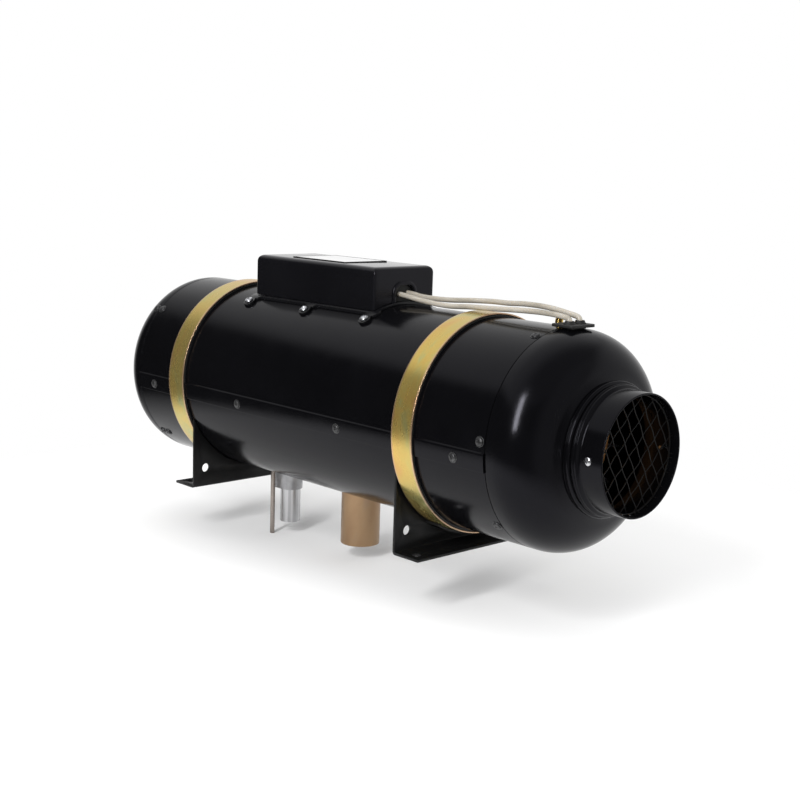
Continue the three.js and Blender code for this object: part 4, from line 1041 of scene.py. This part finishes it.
def box_label():
    """Bare silver film inside a dark frame."""
    z = BOX_TOP + 0.05
    top = z + LABEL_HEIGHT

    def rectangle(inset, corner):
        x0, x1, half = LABEL_X[0] + inset, LABEL_X[1] - inset, LABEL_HALF - inset
        return rounded_rectangle(x0, x1, -half, half, corner, 6)

    window = rectangle(LABEL_BORDER, 1)
    border = boolean(prism(rectangle(0, 2), z, top, "z"), [prism(window, z - 1, z + 1, "z")])
    add("label_frame", bevelled(border, 0.12, 2), "label_border", slot="black_plastic")
    add("label_plate", prism(window, z, top - 0.1, "z"), "label_film", ("rating_plate",))


# ---- leads and sensor
def lead_routes():
    entry = (BOSS_X, BOSS_TOP - 1.6)
    near = [
        (-216, -5, 110.2), (-204, -5, 109.6), (-176, -5.6, 106.6), (-141, -6.5, 105.2), (-111, -7.4, 107.2),
        (-84, -7.8, 108.3), (-50, -8, 110.2), (-20, -7.6, 110.8), (0, -7.1, 109.6),
        (entry[0] - 1, -BOSS_Y, 107.9), (entry[0], -BOSS_Y, entry[1])]
    far = [
        (-216, 6.8, 110.9), (-204, 6.8, 110.4), (-190, 6.9, 108.9), (-157, 7.4, 108.9), (-124, 8, 111.3),
        (-99, 8, 112.8), (-78, 8, 113.2), (-57, 8, 114.4), (-30, 7.6, 114), (-8, 7.2, 111.4),
        (entry[0] - 1.5, BOSS_Y, 108.4), (entry[0], BOSS_Y, entry[1])]
    return {"near": near, "far": far}


def leads():
    for side, route in lead_routes().items():
        form = tube(through(route, 10), LEAD, 24)
        add(f"lead_{side}", form, "lead_silicone", (f"sensor_lead_{side}",))


def skin_radius(x):
    """Radius of the shells and of the outlet hood at x."""
    if x <= DOME_START:
        return CASING
    turn = math.asin(min(1, (x - DOME_START) / DOME_DEPTH))
    return DOME_MIDDLE + (CASING - DOME_MIDDLE) * math.cos(turn)


def lead_grommet():
    """Flat plate over a pad that fits the shells, with a boss for each lead."""
    def slab(inset, low, high, corner):
        half, side = GROMMET_LENGTH / 2 - inset, GROMMET_WIDTH / 2 - inset
        outline = rounded_rectangle(GROMMET_X - half, GROMMET_X + half, -side, side, corner, 6)
        return prism(outline, low, high, "z")

    top = CASING + SEAT + GROMMET_PLATE
    plate = bevelled(slab(0, top - 2.6, top, 3.0), 0.6, 3, 50)
    upper = [(x, skin_radius(x) + SEAT) for x in range(24, -13, -2)]
    skin = turned([(-12, 0), (24, 0), *upper], 160)
    pad = boolean(slab(5.5, 96, top - 1.5, 2.4), [skin])
    bosses = []
    for y in (-BOSS_Y, BOSS_Y):
        outline = filleted([
            (0, 101.5), (BOSS_RADIUS + 1.1, 101.5), (BOSS_RADIUS + 0.9, 104.4, 0.5),
            (BOSS_RADIUS, 104.8, 0.5), (BOSS_RADIUS - 0.4, BOSS_TOP, 0.8), (LEAD + 0.5, BOSS_TOP, 0.4),
            (LEAD + 0.2, BOSS_TOP - 1.2), (0, BOSS_TOP - 1.2)], 4)
        bosses.append(turned_about(outline, (BOSS_X, y, 0), (0, 0, 1), 40))
    add("grommet", merged(plate, pad, *bosses), "black_rubber", ("lead_grommet",))


def sensor():
    """Grooved body with a narrower tip, in a hexagon nut on the casing."""
    radius, groove, rise = SENSOR_RADIUS, SENSOR_RADIUS - 0.5, SENSOR_TOP - SENSOR_FOOT
    tip = rise + 3.6
    outline = filleted([
        (0, 0), (radius, 0), (radius, rise - 5.2), (groove, rise - 4.8), (groove, rise - 4.2),
        (radius, rise - 3.8), (radius, rise - 1.2, 0.7), (SENSOR_TIP, rise - 0.6, 0.3),
        (SENSOR_TIP, tip, 0.6), (0, tip)], 4)
    out = (0, *on_circle(1, SENSOR_ANGLE))
    form = turned_about(outline, (SENSOR_X, *on_circle(SENSOR_FOOT, SENSOR_ANGLE)), out, 40)
    nut = turned_about(filleted([(radius + 0.05, 0), (5.6, 0), (5.6, 2.4, 0.3), (radius + 0.05, 2.4)]),
                       (SENSOR_X, *on_circle(94.3, SENSOR_ANGLE)), out, 6)
    add("sensor_stub", merged(form, nut), "sensor_brass", ("temperature_sensor",))


# ---- pipes below the casing
def pipes():
    inner = EXHAUST_RADIUS - 1.6
    outline = filleted([
        (inner, -90.3), (EXHAUST_RADIUS + 4, -90.3), (EXHAUST_RADIUS + 4, -93.5, 0.5),
        (EXHAUST_RADIUS, -94, 0.5), (EXHAUST_RADIUS, EXHAUST_END, 0.5), (inner, EXHAUST_END, 0.5)])
    add("exhaust_pipe", turned_about(outline, (EXHAUST_X, 0, 0), (0, 0, 1), 96),
        "browned_steel", ("exhaust_stub",))
    bore = AIR_RADIUS - 1.5
    outline = filleted([
        (bore, -105.3), (AIR_RADIUS, -105.3), (AIR_RADIUS, AIR_END, 0.6), (bore, AIR_END, 0.5)])
    add("air_pipe", turned_about(outline, (AIR_X, 0, 0), (0, 0, 1), 72),
        "turned_aluminium", ("air_inlet_stub",))
    bend = 14
    x, y = FUEL_INNER
    path = [(FUEL_X, FUEL_Y, FUEL_END), (FUEL_X, FUEL_Y, -98)]
    for k in range(1, 9):
        share = 0.5 - 0.5 * math.cos(math.pi * k / 8)
        path.append((FUEL_X + (x - FUEL_X) * share, FUEL_Y + (y - FUEL_Y) * share, -98 + 28 * k / 8))
    path.append((x, y, FUEL_Z - bend))
    for k in range(1, 9):
        t = k / 8
        path.append((x + bend * t * t, y, FUEL_Z - bend * (1 - t) ** 2))
    path.append((-355, y, FUEL_Z))
    add("fuel_tube", tube(path, FUEL_RADIUS, 28), "heated_steel", ("fuel_pipe",), "browned_steel")


def port_boss():
    """Oblong casting that the air stub comes out of."""
    tools = [
        bar((-440, 0, 0), (-340, 0, 0), PORT_SEAT, 128),
        bar((AIR_X, 0, -40), (AIR_X, 0, -140), 9.5, 48),
        bar((AIR_X, 0, -105), (AIR_X, 0, -140), 11.6, 48),
    ]
    form = bevelled(boolean(prism(port_outline(0), PORT_END, -40, "z"), tools), 0.6, 3, 50)
    add("port_boss", form, "cast_aluminium", ("port_casting",), "turned_aluminium")


# ---- grilles
def mesh_wires(angle, spacing, phase, weave):
    """Wires of one direction across the spout, with their ends hooked forward along its wall, and bright
    cut ends on the near, lit side only, as a partly painted glint.
    """
    reach = DUCT - SHEET - 1.2
    ay, az = on_circle(1, angle)
    wires, cut_end_glints = [], []
    for k in range(-8, 9):
        offset = (k + phase) * spacing
        if abs(offset) >= reach - 2:
            continue
        half = math.sqrt(reach**2 - offset**2)
        steps = 24
        path = []
        for i in range(steps + 1):
            along = -half + 2 * half * i / steps
            sway = weave * 0.55 * math.cos(math.pi * (along + offset) / 13)
            x = GRILLE_X + weave * 0.25 + sway
            path.append((x, -az * offset + ay * along, ay * offset + az * along))
        for end in (0, -1):
            x, y, z = path[end]
            hook = [(x + 0.9, y * 1.004, z * 1.004), (x + 2.9, y * 1.006, z * 1.006)]
            tip = ((x + 2.7, y * 1.006, z * 1.006), (x + 3.4, y * 1.006, z * 1.006))
            path = [*reversed(hook), *path] if end == 0 else [*path, *hook]
            # Bright bare cut ends, partly painted glint: only the ends on the near, lit side (y < 0) get
            # one, and the far ends, in shade, get none.
            if y < 0:
                cut_end_glints.append(tube([tip[0], tip[1]], WIRE + 0.15, 10, True))
        wires.append(tube(path, WIRE, 10))
    return wires, cut_end_glints


def outlet_guard():
    first, cut_end_glints_a = mesh_wires(*GRILLE_WIRES[0], 1)
    second, cut_end_glints_b = mesh_wires(*GRILLE_WIRES[1], -1)
    rim_outer = DUCT - SHEET - SEAT
    rim = turned(filleted([(GRILLE_X - 1, rim_outer - 1.4, 0.5), (GRILLE_X + 0.6, rim_outer - 1.4, 0.5),
                           (GRILLE_X + 0.6, rim_outer, 0.5), (GRILLE_X - 1, rim_outer, 0.5)]), 128)
    add("guard_mesh", merged(rim, *first, *second), "black_sheet_metal",
        ("outlet_grille",), sharp=60)
    # Bright cut ends of the near wires only: partly painted glint, with the far ends in shade left dark.
    add("guard_cut_end_glints", merged(*cut_end_glints_a, *cut_end_glints_b), "bright_steel", sharp=60)


def intake_guard():
    rim_outer = DUCT - SHEET - 2 * SEAT
    place = COLLAR_END + 6
    forms = []
    for radius in (rim_outer - 1, 42.0, 32.0, 22.0):
        outline = arc(1.0, 0, 330, 11, (place, radius))
        forms.append(turned(outline, 128))
    for k in range(6):
        ends = [(place, *on_circle(radius, 30 + 60 * k)) for radius in (10, rim_outer - 1)]
        forms.append(tube(ends, 1.0, 16))
    back, front = place - 1.4, place + 1
    cap = turned(filleted([(back, 0), (back, 12, 1.2), (front, 12, 0.6), (front, 0)]), 64)
    add("intake_guard", merged(cap, *forms), "black_plastic", ("intake_grille",), sharp=50)


# ---- inside
def end_cap():
    """Dished lid of the exchanger, crimped over its edge."""
    rear, edge, rim = CORE_FRONT + SEAT, 9.0, CORE_RADIUS - 1.5
    front = rear + CAP_DEPTH

    def rounding(offset, steps):
        return quarter(front - edge, rim - edge, edge - offset, edge - offset, steps)

    outline = filleted([
        (rear, CORE_RADIUS + 3), (rear + 2.2, CORE_RADIUS + 3, 0.9), (rear + 2.6, rim + 0.6, 0.8),
        *rounding(0, 12), (front, 30), (front + 1.6, 26), (front + 1.6, 13), (front + 3, 11),
        (front + 3, 0), (front, 0), *reversed(rounding(2.5, 8)), (rear, rim - 2.5)])
    add("cap_shell", turned(outline, 128), "copper_sheet", ("exchanger_end_cap",))
    lip = arc(0.9, 0, 330, 11, (rear + 2.6, CORE_RADIUS + 2.4))
    add("cap_lip", turned(lip, 128), "bright_steel", slot="copper_sheet")


def section_of_blade(chord, camber, thickness, steps=8):
    def mean(s):
        return camber * (1 - 4 * s * s)

    def half(s):
        return thickness / 2 * math.sqrt(max(0.03, 1 - 3.6 * s * s))

    stations = [-0.5 + k / steps for k in range(steps + 1)]
    lower = [(chord * s, mean(s) - half(s)) for s in stations]
    upper = [(chord * s, mean(s) + half(s)) for s in reversed(stations)]
    return [*lower, *upper]


def blower():
    front, length, hub_radius, tip = SPIGOT_LENGTH - LENGTH, 26.0, 21.0, 86.0
    rear, middle = front - length, front - length / 2
    blades = []
    for k in range(BLADES):
        rings = []
        for i in range(9):
            t = i / 8
            radius = hub_radius - 1.5 + (tip - hub_radius + 1.5) * t
            pitch, sweep = math.radians(52 - 26 * t), math.radians(10 * t + 360 * k / BLADES)
            ring = []
            for u, v in section_of_blade(25 + 13 * t, 2.6 - t, 2.0):
                axial = u * math.sin(pitch) + v * math.cos(pitch)
                around = (u * math.cos(pitch) - v * math.sin(pitch)) / radius + sweep
                ring.append((middle + axial, radius * math.cos(around), radius * math.sin(around)))
            rings.append(ring)
        blades.append(loft(rings))
    hub = turned(filleted([
        (rear, 4.3), (rear, hub_radius - 5, 1.5), (rear + 5, hub_radius, 3), (front, hub_radius, 0.5),
        (front, hub_radius - 2.5), (rear + 7, hub_radius - 3), (rear + 7, 8),
        (front - 4, 8), (front - 4, 4.3)]), 72)
    add("blower_wheel", merged(hub, *blades), "black_plastic", ("blower_fan",), body=ROTOR)


def finish_nodes():
    """The CAD nodes that stay get their materials and slightly eased edges."""
    slots = {part["node"]: part["material_slot"] for part in frame["record"]["subparts"]}
    for name, node in frame["nodes"].items():
        node.data.materials.clear()
        node.data.materials.append(LOOKS[slots[name]])
        if not node.hide_render:
            edges = node.modifiers.new("edges", "BEVEL")
            edges.width, edges.segments, edges.limit_method = 0.0004, 2, "ANGLE"
            edges.angle_limit = math.radians(35)


add_camera()
add_floor()
add_light()
for build in (upper_shell, lower_shell, outlet_hood, outlet_spout, intake_hood,
              casing_screws, lug_screws, spout_screws):
    build()
for end_name in STRAPS:
    add_strap(end_name)
    add_bracket(end_name)
for build in (box_base, box_cover, box_label, leads, lead_grommet, sensor, pipes, port_boss,
              outlet_guard, intake_guard, end_cap, blower, finish_nodes):
    build()

bpy.context.scene.view_settings.view_transform = "Standard"
